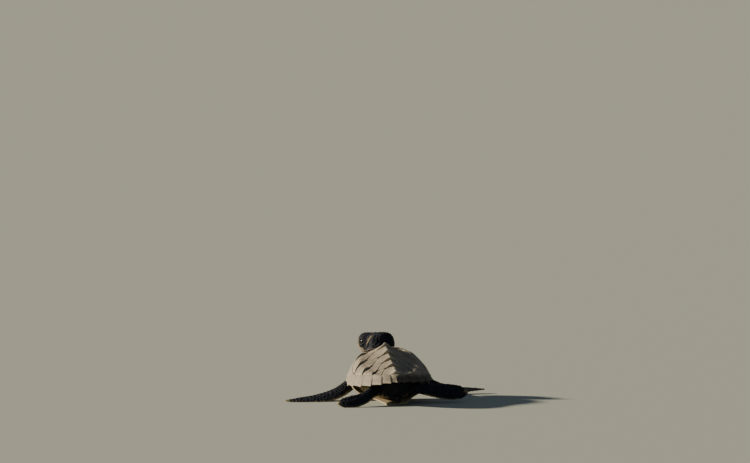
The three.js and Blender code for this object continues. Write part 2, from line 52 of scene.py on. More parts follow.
MM = 0.001
GAP = 0.08  # seam between neighbouring plates
SHELL_HALF_WIDTH, SHELL_WIDEST_Y = 17.5, 3.0
SHELL_FRONT, SHELL_REAR = 19.5, 25.5  # from the widest line to each end
OUTLINE_FRONT, OUTLINE_REAR = 2.2, 0.7  # how full the outline is towards each end
RIM_SIDE, RIM_FRONT, RIM_REAR = 2.6, 2.8, 3.6  # breadth of the marginal plates
PLATE = 1.0
MARGIN_HEIGHT, MARGIN_LOW_Y = 6.5, 1.0
MARGIN_RISE_FRONT, MARGIN_RISE_REAR = 7.0, 6.9
KEEL_TOOTH, COSTAL_TOOTH, COSTAL_KEEL = 1.2, 0.5, 0.67
# The middle keel's height above the margin, and the section's shape from keel to margin.
RIDGE = [
    (-22.5, 0), (-15.3, 3.5), (-9.2, 6.2), (-2.6, 8.95), (4.2, 10.45), (11.6, 9.9), (18.9, 5.0), (22.5, 0),
]
SECTION = [(0, 1), (0.13, 0.91), (0.3, 0.81), (0.5, 0.75), (0.65, 0.67), (0.76, 0.53), (0.88, 0.27), (1, 0)]
VERTEBRAL_SEAMS = [18.7, 11.6, 4.2, -2.6, -9.2, -15.3]
VERTEBRAL_CORNER = [5.2, 4.3, 3.9, 3.5, 3.0]
VERTEBRAL_SIDE = [7.4, 8.9, 7.9, 6.5, 4.7]
SIDE_POINT_Y = [14.2, 5.8, -1.6, -8.0, -12.4]
COSTAL_SEAM_Y = [18.4, 10.6, 1.6, -6.6, -12.4, -15.6]
NUCHAL_ANGLE = math.radians(12)


def smooth(t, low, high):
    t = np.clip((np.asarray(t, float) - low) / (high - low), 0, 1)
    return t * t * (3 - 2 * t)


def band(t, low, full, fade, gone):
    """One between full and fade, and nothing below low or above gone."""
    return smooth(t, low, full) * (1 - smooth(t, fade, gone))


def bell(t, width):
    return np.exp(-((t / width) ** 2))


def lerp(a, b, t):
    return a + (b - a) * t


def through(knots, s):
    """A smooth value through a few (place, value) knots."""
    x, y = np.array(knots, float).T
    after, before = np.r_[1 : len(x), len(x) - 1], np.r_[0, 0 : len(x) - 1]
    slope = (y[after] - y[before]) / (x[after] - x[before])
    i = np.clip(np.searchsorted(x, s, side="left") - 1, 0, len(x) - 2)
    h = x[i + 1] - x[i]
    t = np.clip((s - x[i]) / h, 0, 1)
    start = (2 * t**3 - 3 * t**2 + 1) * y[i] + (t**3 - 2 * t**2 + t) * h * slope[i]
    return start + (3 * t**2 - 2 * t**3) * y[i + 1] + (t**3 - t**2) * h * slope[i + 1]


def lumps(points, size, seed=0):
    """Smooth random heights from -1 to 1, a lump every size mm."""
    q = np.asarray(points, float) / size + 500.5
    cell = np.floor(q).astype(np.int64)
    f = q - cell
    f = f * f * (3 - 2 * f)
    total = np.zeros(q.shape[:-1])
    for corner in np.ndindex(2, 2, 2):
        c = cell + corner
        h = (c[..., 0] * 73856093) ^ (c[..., 1] * 19349663) ^ (c[..., 2] * 83492791) ^ (seed * 40503)
        h = ((h ^ (h >> 13)) * 1274126177) & 0x7FFFFFFF
        weight = np.prod(np.where(corner, f, 1 - f), axis=-1)
        total += weight * (((h ^ (h >> 15)) & 0xFFFF) / 32767.5 - 1)
    return total


def outline_shape(t):
    front = np.sqrt(np.clip(1 - np.abs(t) ** OUTLINE_FRONT, 0, 1))
    return np.where(t > 0, front, np.clip(1 - t * t, 0, 1) ** OUTLINE_REAR)


def outline(angle, inset=0.0):
    """A point of the shell's outline: angle 0 is the nuchal edge and pi the tail end."""
    t = np.cos(angle)
    reach = np.where(t > 0, SHELL_FRONT - inset * RIM_FRONT, SHELL_REAR - inset * RIM_REAR)
    return (SHELL_HALF_WIDTH - inset * RIM_SIDE) * outline_shape(t), SHELL_WIDEST_Y + reach * t


def half_width(y, inset=0.0):
    d = np.asarray(y, float) - SHELL_WIDEST_Y
    reach = np.where(d > 0, SHELL_FRONT - inset * RIM_FRONT, SHELL_REAR - inset * RIM_REAR)
    return (SHELL_HALF_WIDTH - inset * RIM_SIDE) * outline_shape(np.clip(d / reach, -1, 1))


def margin_height(y):
    d = np.asarray(y, float) - MARGIN_LOW_Y
    front = MARGIN_RISE_FRONT * (np.clip(d, 0, None) / 21.5) ** 2
    return MARGIN_HEIGHT + front + MARGIN_RISE_REAR * (np.clip(-d, 0, None) / 23.5) ** 1.3


def dome(x, y):
    """Height of the shell's back without the knobs of its plates."""
    w = half_width(y)
    s = np.where(w > 0.01, np.minimum(1, np.abs(x) / np.maximum(w, 0.01)), 1)
    return margin_height(y) + through(RIDGE, y) * through(SECTION, s)


def carapace_top(x, y, t=0.0):
    """The back with its keels, t running from a plate's front seam to its rear one."""
    w = half_width(y)
    keel = KEEL_TOOTH * bell(x, 1.7) * smooth(w, 3, 9)
    costal = COSTAL_TOOTH * bell(np.abs(x) - COSTAL_KEEL * w, 1.5) * smooth(w, 8, 13)
    return dome(x, y) + (keel + costal) * t**1.6


def rim_seam_y(x, front):
    """Where the marginal plates begin, ahead of or behind the widest line."""
    part = np.minimum(1, np.abs(x) / (SHELL_HALF_WIDTH - RIM_SIDE))
    if front:
        return SHELL_WIDEST_Y + (SHELL_FRONT - RIM_FRONT) * (1 - part**2) ** (1 / OUTLINE_FRONT)
    return SHELL_WIDEST_Y - (SHELL_REAR - RIM_REAR) * np.sqrt(1 - part ** (1 / OUTLINE_REAR))


def along(points, q):
    """A piecewise line through a few plan points, at q from 0 to 1."""
    points = np.array(points, float)
    t = np.clip(q, 0, 1) * (len(points) - 1)
    i = np.minimum(np.floor(t).astype(int), len(points) - 2)
    return lerp(points[i], points[i + 1], (t - i)[..., None])


def inset(t, size):
    """A share of a plate's length, drawn in by half a seam at both ends."""
    return lerp(GAP / 2 / size, 1 - GAP / 2 / size, t)


def placed(at, z=0, x=0, y=0):
    """A frame at a point, turned by degrees about z, then x, then y."""
    turn = Matrix.Rotation(math.radians(z), 4, "Z") @ Matrix.Rotation(math.radians(x), 4, "X")
    return Matrix.Translation(at) @ turn @ Matrix.Rotation(math.radians(y), 4, "Y")


def moved(matrix, points):
    m = np.array(matrix)
    return np.asarray(points, float) @ m[:3, :3].T + m[:3, 3]


def eye_at(side):
    """The centre of the left eye (-1) or the right one (1), in the head's frame."""
    return side * 4.35, 2.0, 1.1


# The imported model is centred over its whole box. The left eye, a true sphere in it, tells
# how far the animal was shifted for that.
HEAD = placed((-1.35, 30.4, 20.7), z=37, x=6)
eye_box = np.array([list(corner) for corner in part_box("eye_left")]) / MM
SHIFT = Matrix.Translation(Vector(eye_box.mean(0) - moved(HEAD, eye_at(-1))))
HEAD = SHIFT @ HEAD
BODY = SHIFT @ placed((0.9, 0, 2.5), x=9, y=-3.5)


def slab(top, bottom):
    """Points and faces of a closed slab between two grids of points."""
    n, m = top.shape[:2]
    points = np.concatenate([top.reshape(-1, 3), bottom.reshape(-1, 3)])
    at = np.arange(n * m).reshape(n, m)
    quads = np.stack([at[:-1, :-1], at[1:, :-1], at[1:, 1:], at[:-1, 1:]], -1).reshape(-1, 4)
    rim = np.concatenate([at[:, 0], at[-1, 1:], at[-2::-1, -1], at[0, -2:0:-1]])
    side = np.stack([rim, rim + n * m, np.roll(rim, -1) + n * m, np.roll(rim, -1)], -1)
    return points, np.concatenate([quads, quads[:, ::-1] + n * m, side])


def outward(points, faces):
    """The same faces, turned to face out if the solid they close is inside out."""
    a, b, c, d = (points[faces[:, k]] for k in range(4))
    volume = np.einsum("ij,ij->", a, np.cross(b, c)) + np.einsum("ij,ij->", a, np.cross(c, d))
    return faces if volume > 0 else faces[:, ::-1]


def new_piece(name, points, faces, material, *nodes, **marks):
    """A piece on the animal: points in mm in the model's frame, faces as an array of quads to
    be turned outwards or a list that is, and a value a point for each mark of its material."""
    mesh = bpy.data.meshes.new(name)
    faces = faces if isinstance(faces, list) else outward(points, faces).tolist()
    mesh.from_pydata((np.asarray(points) * MM).tolist(), [], faces)
    for key, values in marks.items():
        layer = mesh.attributes.new(key, "FLOAT", "POINT")
        layer.data.foreach_set("value", np.asarray(values, np.float32).ravel())
    mesh.materials.append(material)
    mesh.shade_smooth()
    made = bpy.data.objects.new(name, mesh)
    bpy.context.scene.collection.objects.link(made)
    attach(made, "root")
    if nodes:
        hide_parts(*nodes)
    return made


def linear(hex_colour):
    """An sRGB hex colour as linear RGBA."""
    srgb = [int(hex_colour[i : i + 2], 16) / 255 for i in (1, 3, 5)]
    return [c / 12.92 if c <= 0.04045 else ((c + 0.055) / 1.055) ** 2.4 for c in srgb] + [1.0]


def finish(name, values):
    """A new material, its node tree and its shader with the uniform values set on it."""
    material = bpy.data.materials.new(name)
    material.use_nodes = True
    surface = material.node_tree.nodes["Principled BSDF"]
    for key, value in values.items():
        surface.inputs[key].default_value = value
    return material, material.node_tree, surface


def wire(tree, made, links):
    """Feeds a node's sockets. A node given as a source stands for its first output."""
    for key, source in links.items():
        tree.links.new(getattr(source, "outputs", [source])[0], made.inputs[key])


def node(tree, kind, values=None, links=None, stops=(), **settings):
    """Adds one node: its settings, the values of its sockets, its colour stops, its feeds."""
    made = tree.nodes.new("ShaderNode" + kind)
    for key, value in settings.items():
        setattr(made, key, value)
    for key, value in (values or {}).items():
        made.inputs[key].default_value = value
    for index, (position, colour) in enumerate(stops):
        ramp = made.color_ramp.elements
        stop = ramp[index] if index < 2 else ramp.new(position)
        stop.position, stop.color = position, linear(colour)
    wire(tree, made, links or {})
    return made


def per_mm(size):
    """A texture's scale for a pattern that repeats every size mm."""
    return 1 / (size * MM)


def dry_scute():
    """Young keratin, dry and dusty: grey-brown, darker in the hollows of its grain as painted shade, bleached
    along the knobs and edges, and darker where the worn mark is below zero, a little along the rims and
    strongly on the right-hand rear rim as painted shade. Fine grains scatter the light, and are drawn a
    little coarser than real ones, to show."""
    material, tree, surface = finish("dry_keratin_scute", {"IOR": 1.54, "Specular IOR Level": 0.35})
    place = node(tree, "TexCoord").outputs["Object"]
    worn = node(tree, "Attribute", attribute_name="worn").outputs["Fac"]
    cloud = node(tree, "TexNoise", {"Scale": per_mm(3.2), "Detail": 4, "Roughness": 0.6}, {"Vector": place})
    ground = node(tree, "ValToRGB", links={"Fac": cloud}, stops=[(0.3, "#7c725e"), (0.72, "#9a8f78")])
    grain = node(tree, "TexNoise", {"Scale": per_mm(0.45), "Detail": 5, "Roughness": 0.7}, {"Vector": place})
    # The grains' stops are factors on the ground's colour, not colours.
    speck = node(tree, "ValToRGB", links={"Fac": grain})
    speck.color_ramp.elements[0].position, speck.color_ramp.elements[1].position = 0.42, 0.62
    speck.color_ramp.elements[0].color = (0.62, 0.6, 0.58, 1)
    speck.color_ramp.elements[1].color = (1.08, 1.08, 1.06, 1)
    # The fine grain darkens the colour where its bump sinks: painted shade in the grain's hollows.
    mottled = node(tree, "Mix", {0: 0.75}, {6: ground, 7: speck}, data_type="RGBA", blend_type="MULTIPLY")
    bleached = node(tree, "Mix", {7: linear("#aea48c")}, {0: worn, 6: mottled.outputs[2]}, data_type="RGBA")
    # Where the worn mark is below zero the colour is darkened: on the right-hand rear rim this is painted
    # shade.
    dark_and_shade_amount = node(tree, "MapRange", {"From Min": -1, "From Max": 0, "To Min": 1, "To Max": 0}, {"Value": worn})
    darkened_and_shaded = node(tree, "Mix", {7: linear("#1d1914")}, {0: dark_and_shade_amount, 6: bleached.outputs[2]}, data_type="RGBA")
    rough = node(tree, "MapRange", {"To Min": 0.62, "To Max": 0.86}, {"Value": grain})
    bump = node(tree, "Bump", {"Strength": 0.55, "Distance": 0.12 * MM}, {"Height": grain})
    wire(tree, surface, {"Base Color": darkened_and_shaded.outputs[2], "Roughness": rough, "Normal": bump})
    return material


SCUTE = dry_scute()
LAST_CORNER = float(half_width(COSTAL_SEAM_Y[5], 1))


def vertebral_side(i):
    """Half-width of a vertebral plate at its front seam, side point and rear seam."""
    rear = (VERTEBRAL_CORNER[i + 1], VERTEBRAL_SEAMS[i + 1]) if i < 4 else (LAST_CORNER, COSTAL_SEAM_Y[5])
    return [(VERTEBRAL_CORNER[i], VERTEBRAL_SEAMS[i]), (VERTEBRAL_SIDE[i], SIDE_POINT_Y[i]), rear]


def horn_plate(name, p, q, x, y, t, seed):
    """One plate of the back, from its plan: its edges rolled over, its face lightly pitted."""
    step_p = np.hypot(np.gradient(x, axis=0), np.gradient(y, axis=0))
    step_q = np.hypot(np.gradient(x, axis=1), np.gradient(y, axis=1))
    long_p, long_q = (x.shape[0] - 1) * step_p, (x.shape[1] - 1) * step_q
    flank, fore, rear = np.minimum(p, 1 - p) * long_p, q * long_q, (1 - q) * long_q
    w = half_width(y)
    rolled = 0.2 * (1 - smooth(np.minimum(flank, fore), 0, 0.4)) + 0.14 * (1 - smooth(rear, 0, 0.16))
    lip = 0.32 * t**5 * smooth(flank, 0, 0.8) - 0.24 * (1 - smooth(fore, 0, 1.5))
    corners = 0.4 * (1 - smooth(flank, 0, 1.3)) * (1 - smooth(np.minimum(fore, rear), 0, 1.3))
    valley = 0.7 * bell(np.abs(x) / np.maximum(w, 1) - 0.49, 0.21) * smooth(w, 6, 12)
    # The right-hand knobs are worn lower, most of all towards the tail.
    low_side = smooth(x, 1, 4) * (1 - 0.35 * smooth(y, 0, 8))
    worn_off = (0.7 * bell(x - COSTAL_KEEL * w, 1.9) * t**1.6 + 0.15 * t**5) * low_side
    plan = np.stack([x, y, np.full_like(x, seed * 7.0)], -1)
    pitted = 0.1 * lumps(plan, 1.6, seed) + 0.04 * lumps(plan, 0.5, seed + 1)
    top = carapace_top(x, y, t) - rolled + lip - corners - valley - worn_off + pitted
    bottom = dome(x, y) - PLATE + 0.05
    points, faces = slab(*(np.stack([x, y, z], -1) for z in (top, bottom)))
    edge = np.minimum(np.minimum(flank, fore), rear)
    ridge = bell(x, 1.3) * t**1.5
    worn = 0.4 * (1 - smooth(rear, 0.1, 0.8)) + 0.25 * (1 - smooth(edge, 0.1, 0.6)) + 0.7 * ridge
    worn = np.r_[np.clip(worn, 0, 1).ravel(), np.zeros(worn.size)]
    new_piece(f"scute_{name}", moved(BODY, points), faces, SCUTE, name, worn=worn)


p, q = np.meshgrid(np.linspace(0, 1, 33), np.linspace(0, 1, 29), indexing="ij")
for i in range(5):
    y0, y1 = VERTEBRAL_SEAMS[i : i + 2]
    down = inset(q, y0 - y1)
    width, y = np.moveaxis(along(vertebral_side(i), down), -1, 0)
    u = 2 * inset(p, 2 * width) - 1
    if i == 0:
        corner = VERTEBRAL_CORNER[0]
        y = y + (1 - down) * (rim_seam_y(u * corner, True) - rim_seam_y(corner, True))
    if i == 4:
        y = y + down * (rim_seam_y(u * LAST_CORNER, False) - rim_seam_y(LAST_CORNER, False))
    horn_plate(f"vertebral_{i + 1}", p, q, u * width, y, q, i)

for side, name in ((-1, "left"), (1, "right")):
    for i in range(5):
        before = vertebral_side(i - 1)[1:] if i else vertebral_side(0)[:1]
        y0, y1 = COSTAL_SEAM_Y[i : i + 2]
        down = inset(q, y0 - y1)
        inner = along(before + [vertebral_side(i)[1]], down)
        rim_y = lerp(y0, y1, down)
        outer = np.stack([half_width(rim_y, 1), rim_y], -1)
        reach = np.maximum(1.5, np.hypot(*np.moveaxis(outer - inner, -1, 0)))
        x, y = np.moveaxis(lerp(inner, outer, inset(p, reach)[..., None]), -1, 0)
        horn_plate(f"costal_{name}_{i + 1}", p, q, side * x, y, q, 10 + i + 5 * (side > 0))

angle = NUCHAL_ANGLE * 0.94 * (2 * p - 1)
x, y = outline(np.abs(angle), inset(q, RIM_FRONT))
horn_plate("nuchal", p, q, np.sign(angle) * x, y, q * 0, 31)

# ---- Marginal plates ----------------------------------------------------------------------
# Twelve small plates a side ring the shell. They are the same keratin, grown over its bony
# rim, and each one's rear corner stands out, so that the edge is toothed towards the tail.

MARGINALS, SAW, RIM_CURL, RIM_DROOP = 12, 0.7, 0.5, 1.0
place_in = np.linspace(0.02, 0.985, 13)
k = np.concatenate([i + place_in for i in range(MARGINALS)])
k = k[(k > 0.03) & (k < MARGINALS - 0.08)]
r = np.array([0.012, 0.06, 0.14, 0.26, 0.38, 0.5, 0.62, 0.72, 0.81, 0.89, 0.95, 1.0])
k, r = np.meshgrid(k, r, indexing="ij")
share = k % 1
base_x, base_y = outline(lerp(NUCHAL_ANGLE, math.pi, k / MARGINALS), 1 - r)
saw = SAW * (0.4 + 0.9 * k / MARGINALS) * share**2 * r / np.hypot(base_x, base_y - SHELL_WIDEST_Y)
rim_x = base_x * (1 + saw)
rim_y = base_y + saw * (base_y - SHELL_WIDEST_Y)


def droop(y, r):
    """How far the rim bends down, at a share r of its breadth."""
    return RIM_DROOP * smooth(-y, 2, 18) * r**2


def bridge(y):
    """One along the bridge between the shells, and nothing ahead of it and behind."""
    return band(y, -11, -6, 8, 13)


seam = bell(np.minimum(share, 1 - share), 0.04)
hang = 0.55 * (0.3 - share**2) * smooth(r, 0.45, 1.0) * smooth(k, 3, 6)
plan = np.stack([rim_x, rim_y, rim_x * 0], -1)
crown = (0.2 + 0.16 * np.sin(np.pi * share)) * np.sin(np.pi * r)
rounded = 0.5 * smooth(r, 0.4, 1.0) ** 1.5 + 0.1 * (1 - smooth(r, 0.0, 0.1))
rim_top = carapace_top(rim_x, rim_y) - RIM_CURL * r**3 - droop(rim_y, r) + hang - 0.12 * seam + crown
rim_top += 0.05 * lumps(plan, 0.8, 3) + 0.03 * lumps(plan, 0.4, 4) - rounded
edge_under = dome(rim_x, rim_y) - PLATE - droop(rim_y, r)
wedge = np.minimum(margin_height(rim_y) - lerp(0.35, 1.0, r), edge_under)
rim_bottom = lerp(edge_under, wedge, bridge(rim_y)) + hang - 0.22 * smooth(r, 0.6, 1.0)
rim_worn = np.clip(0.45 * smooth(r, 0.7, 1.0) * (0.4 + 0.6 * share) + 0.09 * (1 - seam), 0, 1)
for side, name in ((-1, "left"), (1, "right")):
    top, bottom = (np.stack([side * rim_x, rim_y, z], -1) for z in (rim_top, rim_bottom))
    points, faces = slab(top, bottom)
    # The rims are a little darker towards their outer edge on both sides, and much darker on the right-hand
    # rear, where the darkening is painted shade.
    rim_dark_and_shade = (0.14 + 0.68 * (side > 0) * smooth(k, 5, 8)) * smooth(r, 0.35, 0.75)
    worn = np.r_[(rim_worn * (1 - rim_dark_and_shade) - rim_dark_and_shade).ravel(), (rim_worn * 0.6 - rim_dark_and_shade).ravel()]
    names = f"scutes_marginal_{name}", f"marginals_{name}"
    new_piece(names[0], moved(BODY, points), faces, SCUTE, names[1], worn=worn)

# ---- Plastron -----------------------------------------------------------------------------
# The belly shield: paired horny plates on either side of a middle seam, cream with brown
# smudges, with low keels, and wings that rise to the carapace on both sides.

PLASTRON_FRONT, PLASTRON_REAR, PLASTRON_PLATE = 15.5, -18.5, 1.1
PLASTRON_SIDE = [
    (-18.5, 4.2), (-14, 5.9), (-9, 8.6), (-5, 14.4), (0, 16.2), (5, 15.8), (9, 11.4), (13, 7.6), (15.5, 4.4),
]
BELLY_SEAMS = [11.6, 7.2, 1.0, -5.6, -12.2]
SIDE_SEAMS = [4.4, 0.6, -3.2]
BELLY_SEAM, BELLY_KEEL = 0.16, 0.35  # half-width of a seam, height of the inner keels


def plastron_under(x, y):
    return 4.0 * (np.abs(x) / 16.2) ** 3 + 1.6 * np.clip((y - 9) / 6.5, 0, None) ** 2


def belly_keratin():
    """Thin cream keratin, smooth and slightly waxy, smudged brown along the keels and seams."""
    material, tree, surface = finish("cream_keratin_belly", {"IOR": 1.54, "Roughness": 0.55})
    place = node(tree, "TexCoord").outputs["Object"]
    cloud = node(tree, "TexNoise", {"Scale": per_mm(3.5), "Detail": 5, "Roughness": 0.62}, {"Vector": place})
    mark = node(tree, "Attribute", attribute_name="smudge").outputs["Fac"]
    dark = node(tree, "Math", links={0: cloud, 1: mark}, operation="ADD")
    colour = node(tree, "ValToRGB", links={"Fac": dark}, stops=[(0.5, "#a79671"), (1, "#56442c")])
    grain = node(tree, "TexNoise", {"Scale": per_mm(0.5), "Detail": 4}, {"Vector": place})
    bump = node(tree, "Bump", {"Strength": 0.3, "Distance": 0.1 * MM}, {"Height": grain})
    wire(tree, surface, {"Base Color": colour, "Normal": bump})
    return material


p, q = np.meshgrid(np.linspace(0, 1, 121), np.linspace(0, 1, 141), indexing="ij")
y = lerp(PLASTRON_REAR, PLASTRON_FRONT, q)
half = through(PLASTRON_SIDE, y)
x = (2 * p - 1) * half
far = np.abs(x)
wing = 10.4 + 0.02 * y**2
inside = 1 - smooth(far, wing - 0.2, wing + 0.2)
on_bridge = band(y, -6.5, -5.5, 7.6, 8.6)
grooves = [bell(x, BELLY_SEAM), on_bridge * bell(far - wing, BELLY_SEAM)]
grooves += [inside * bell(y - seam_y + 0.1 * far, BELLY_SEAM) for seam_y in BELLY_SEAMS]
grooves += [(1 - inside) * bell(y - seam_y, BELLY_SEAM) for seam_y in SIDE_SEAMS]
groove = np.maximum.reduce(grooves)
keels = BELLY_KEEL * bell(far - 4.6, 0.7) * band(y, -17, -12, 9, 13) + 0.28 * bell(far - 9.4, 0.6) * on_bridge
plan = np.stack([x, y, x * 0], -1)
edge = np.minimum((1 - np.abs(2 * p - 1)) * half, np.minimum(y - PLASTRON_REAR, PLASTRON_FRONT - y))
rolled = 1 - smooth(edge, 0, 0.5)
lower = plastron_under(x, y) + 0.2 * groove - keels + 0.3 + 0.05 * lumps(plan, 0.9, 5) + 0.3 * rolled
upper = plastron_under(x, y) + PLASTRON_PLATE - 0.2 * rolled
points, faces = slab(*(np.stack([x, y, z], -1) for z in (upper, lower)))
points = moved(BODY, points)
points[:, 2] = np.maximum(points[:, 2], 0)
smudge = np.r_[np.zeros(x.size), (0.3 * keels / BELLY_KEEL + 0.25 * groove).ravel()]
new_piece("belly_shield", points, faces, belly_keratin(), "plastron", smudge=smudge)

# ---- Skin -----------------------------------------------------------------------------------
# One hide of loose leathery skin covers the head, neck, trunk, tail and all four flippers. It
# is grown here as one closed surface over the body's own forms, then folded where it creases.

COAT = 0.12  # depth of the scales that stand on the skin
HIDE_STEP, SMOOTHINGS = 0.27, 3  # how finely the hide is grown, and how often it is evened out
HEAD_LENGTH = 16.2
HEAD_WIDE = [(0, 4.4), (0.14, 5.2), (0.34, 6.1), (0.56, 6.0), (0.76, 5.0), (0.92, 3.8), (1, 3.0)]
HEAD_CROWN = [(0, 4.4), (0.16, 5.85), (0.4, 5.5), (0.6, 4.6), (0.78, 4.3), (0.92, 3.8), (1, 2.6)]
HEAD_JAW = [(0, 3.8), (0.2, 5.2), (0.45, 5.4), (0.7, 4.7), (0.88, 4.0), (1, 3.3)]
HEAD_POWER = 2.5  # how square the head's section is, 2 being an ellipse
FRONT_CHORD = [(0, 6.2), (0.16, 6.0), (0.32, 6.6), (0.5, 8.4), (0.66, 8.0), (0.84, 5.2), (1, 2.4)]
FRONT_THICK = [(0, 6.0), (0.16, 5.2), (0.32, 3.8), (0.5, 2.2), (0.7, 1.5), (1, 0.7)]
REAR_CHORD = [(0, 5.2), (0.25, 4.9), (0.45, 5.9), (0.7, 7.5), (0.88, 6.4), (1, 3.4)]
REAR_THICK = [(0, 4.8), (0.25, 4.0), (0.45, 2.6), (0.7, 1.5), (1, 0.8)]
# Each limb's path, the lean of its blade along it in degrees, and the way its edge leads.
LIMBS = {
    "front_left": (
        [(-8.5, 13.5, 8.8), (-14, 10.6, 6.1), (-20, 6.6, 2.95),
         (-28, 3, 1.1), (-36, 2, 0.75), (-43.6, 1.5, 0.45)],
        [(0, 8), (0.25, 20), (0.5, 18), (0.75, 12), (1, 4)],
        (-0.25, 1, 0),
    ),
    "front_right": (
        [(8.5, 14, 9), (14, 16.4, 7.4), (20.5, 19.4, 4.4),
         (28, 22.4, 1.65), (36.5, 24.4, 1.7), (45, 25.4, 1.75)],
        [(0, 6), (0.25, 26), (0.5, 33), (0.75, 14), (1, 2)],
        (-0.2, 1, 0),
    ),
    "rear_left": (
        [(-6.5, -11.5, 6.0), (-9.5, -15.5, 4.7), (-13.5, -19.4, 3.0), (-19, -22.2, 1.9), (-24.9, -22.9, 1.4)],
        [(0, 16), (0.4, 33), (0.7, 33), (1, 32)],
        (-0.45, 1, 0),
    ),
    "rear_right": (
        [(6.5, -12, 6.4), (11, -13.2, 6.0), (17, -12.6, 5.2), (24.5, -10.8, 4.4), (32.4, -8.6, 4.1)],
        [(0, 22), (0.4, 54), (0.7, 60), (1, 58)],
        (0.1, 1, 0),
    ),
}
NECK = [(0, 11, 11.5), (0, 16.5, 13.6), (-0.2, 21.2, 16.6), (-0.9, 26.5, 20.0)]
NECK_WIDE = [(0, 6.2), (0.4, 5.9), (1, 5.2)]
NECK_TALL = [(0, 4.6), (0.4, 4.5), (1, 4.2)]
TAIL = [(0.2, -12.5, 5.0), (0.6, -17, 3.4), (1.3, -21.2, 1.5)]
TAIL_WIDE = [(0, 2.6), (0.5, 1.9), (1, 0.8)]
TAIL_TALL = [(0, 2.2), (0.5, 1.6), (1, 0.7)]


def curve_points(path, s):
    """Places on a centripetal Catmull-Rom curve through a path, s running from 0 to 1."""
    path = np.array(path, float)
    path = np.vstack([2 * path[0] - path[1], path, 2 * path[-1] - path[-2]])
    at = np.clip(s, 0, 1) * (len(path) - 3)
    i = np.minimum(np.floor(at).astype(int), len(path) - 4)
    t = (at - i)[..., None]
    a, b, c, d = (path[i + k] for k in range(4))
    gap = [np.linalg.norm(v - u, axis=-1, keepdims=True) ** 0.5 for u, v in ((a, b), (b, c), (c, d))]
    leave = ((b - a) / gap[0] - (c - a) / (gap[0] + gap[1]) + (c - b) / gap[1]) * gap[1]
    arrive = ((c - b) / gap[1] - (d - b) / (gap[1] + gap[2]) + (d - c) / gap[2]) * gap[1]
    bend = 3 * (c - b) - 2 * leave - arrive
    return b + leave * t + bend * t**2 + (2 * (b - c) + leave + arrive) * t**3


def unit(v):
    return v / np.maximum(np.linalg.norm(v, axis=-1, keepdims=True), 1e-9)


def tangents(path, s):
    return unit(curve_points(path, np.minimum(1, s + 1e-4)) - curve_points(path, np.maximum(0, s - 1e-4)))


def capped(s, first, last):
    """A share of the full radius, rounded off over the first and last parts of a form."""
    end = np.minimum(1, np.minimum(s / first, (1 - s) / last))
    return np.sqrt(np.clip(1 - (1 - end) ** 2, 0, 1))


def blade(s, front, path, lean, forward):
    """A flipper's stations: centre, edge and upward directions, half chord, half thickness."""
    chord, thick = (FRONT_CHORD, FRONT_THICK) if front else (REAR_CHORD, REAR_THICK)
    way = tangents(path, s)
    lead = np.array(forward, float)
    across = unit(lead - way * (way @ lead)[:, None])
    rise = np.cross(across, way)
    rise = rise * np.where(rise[:, 2:] < 0, -1, 1)
    turn = np.radians(through(lean, s))[:, None]
    edge = across * np.cos(turn) + rise * np.sin(turn)
    up = rise * np.cos(turn) - across * np.sin(turn)
    cap = capped(s, *((0.08, 0.1) if front else (0.1, 0.14)))
    half = through(thick, s) * np.minimum(1, cap * 1.2) / 2
    return curve_points(path, s), edge, up, through(chord, s) * cap / 2, half, half


def round_form(s, path, wide, tall, caps):
    """The stations of a neck or tail: centre, directions across and up, and radii."""
    way = tangents(path, s)
    across = -unit(np.cross((0, 0, 1), way))
    cap = capped(s, *caps)
    high = through(tall, s) * cap
    return curve_points(path, s), across, unit(np.cross(across, way)), through(wide, s) * cap, high, high


def skull(s):
    """The head's stations in its own frame, from the nape to the snout."""
    cap = capped(s, 0.14, 0.1)
    across, rise = (np.outer(np.ones_like(s), axis) for axis in ((1, 0, 0), (0, 0, 1)))
    radii = (through(knots, s) * cap for knots in (HEAD_WIDE, HEAD_CROWN, HEAD_JAW))
    return np.outer(s - 0.5, (0, HEAD_LENGTH, 0)), across, rise, *radii


def in_world(stations, matrix):
    centre, across, rise, *radii = stations
    turn = np.array(matrix)[:3, :3].T
    return moved(matrix, centre), across @ turn, rise @ turn, *radii


s = np.linspace(0.0005, 0.9995, 90)
# Each part's stations, the power of its section, and how much thicker its leading edge is.
PARTS = {
    "head": (in_world(skull(s), HEAD), HEAD_POWER, 0),
    "neck": (in_world(round_form(s, NECK, NECK_WIDE, NECK_TALL, (0.1, 0.1)), SHIFT), 2, 0),
    "tail": (in_world(round_form(s, TAIL, TAIL_WIDE, TAIL_TALL, (0.1, 0.12)), SHIFT), 2, 0),
}
for name, limb in LIMBS.items():
    PARTS[name] = (in_world(blade(s, name.startswith("front"), *limb), SHIFT), 2, 0.3)
PART_NAMES = ["trunk", *PARTS]


def ring_quads(n, m):
    """The faces between n closed rings of m points."""
    at = np.arange(n * m).reshape(n, m)
    turned = np.roll(at, -1, axis=1)
    return np.stack([at[:-1], at[1:], turned[1:], turned[:-1]], -1).reshape(-1, 4)


def sphere_grid(pole, rings, around):
    """Angles from pole to pole and round, kept off both poles by a small angle."""
    turns = np.arange(around) * 2 * math.pi / around
    return np.meshgrid(np.linspace(pole, math.pi - pole, rings), turns, indexing="ij")


def closed_form(grid):
    """Points and faces of a form made of rings, with a face across its first and last ring."""
    n, m = grid.shape[:2]
    ends = [list(range(m))[::-1], list(range((n - 1) * m, n * m))]
    return grid.reshape(-1, 3), ring_quads(n, m).tolist() + ends


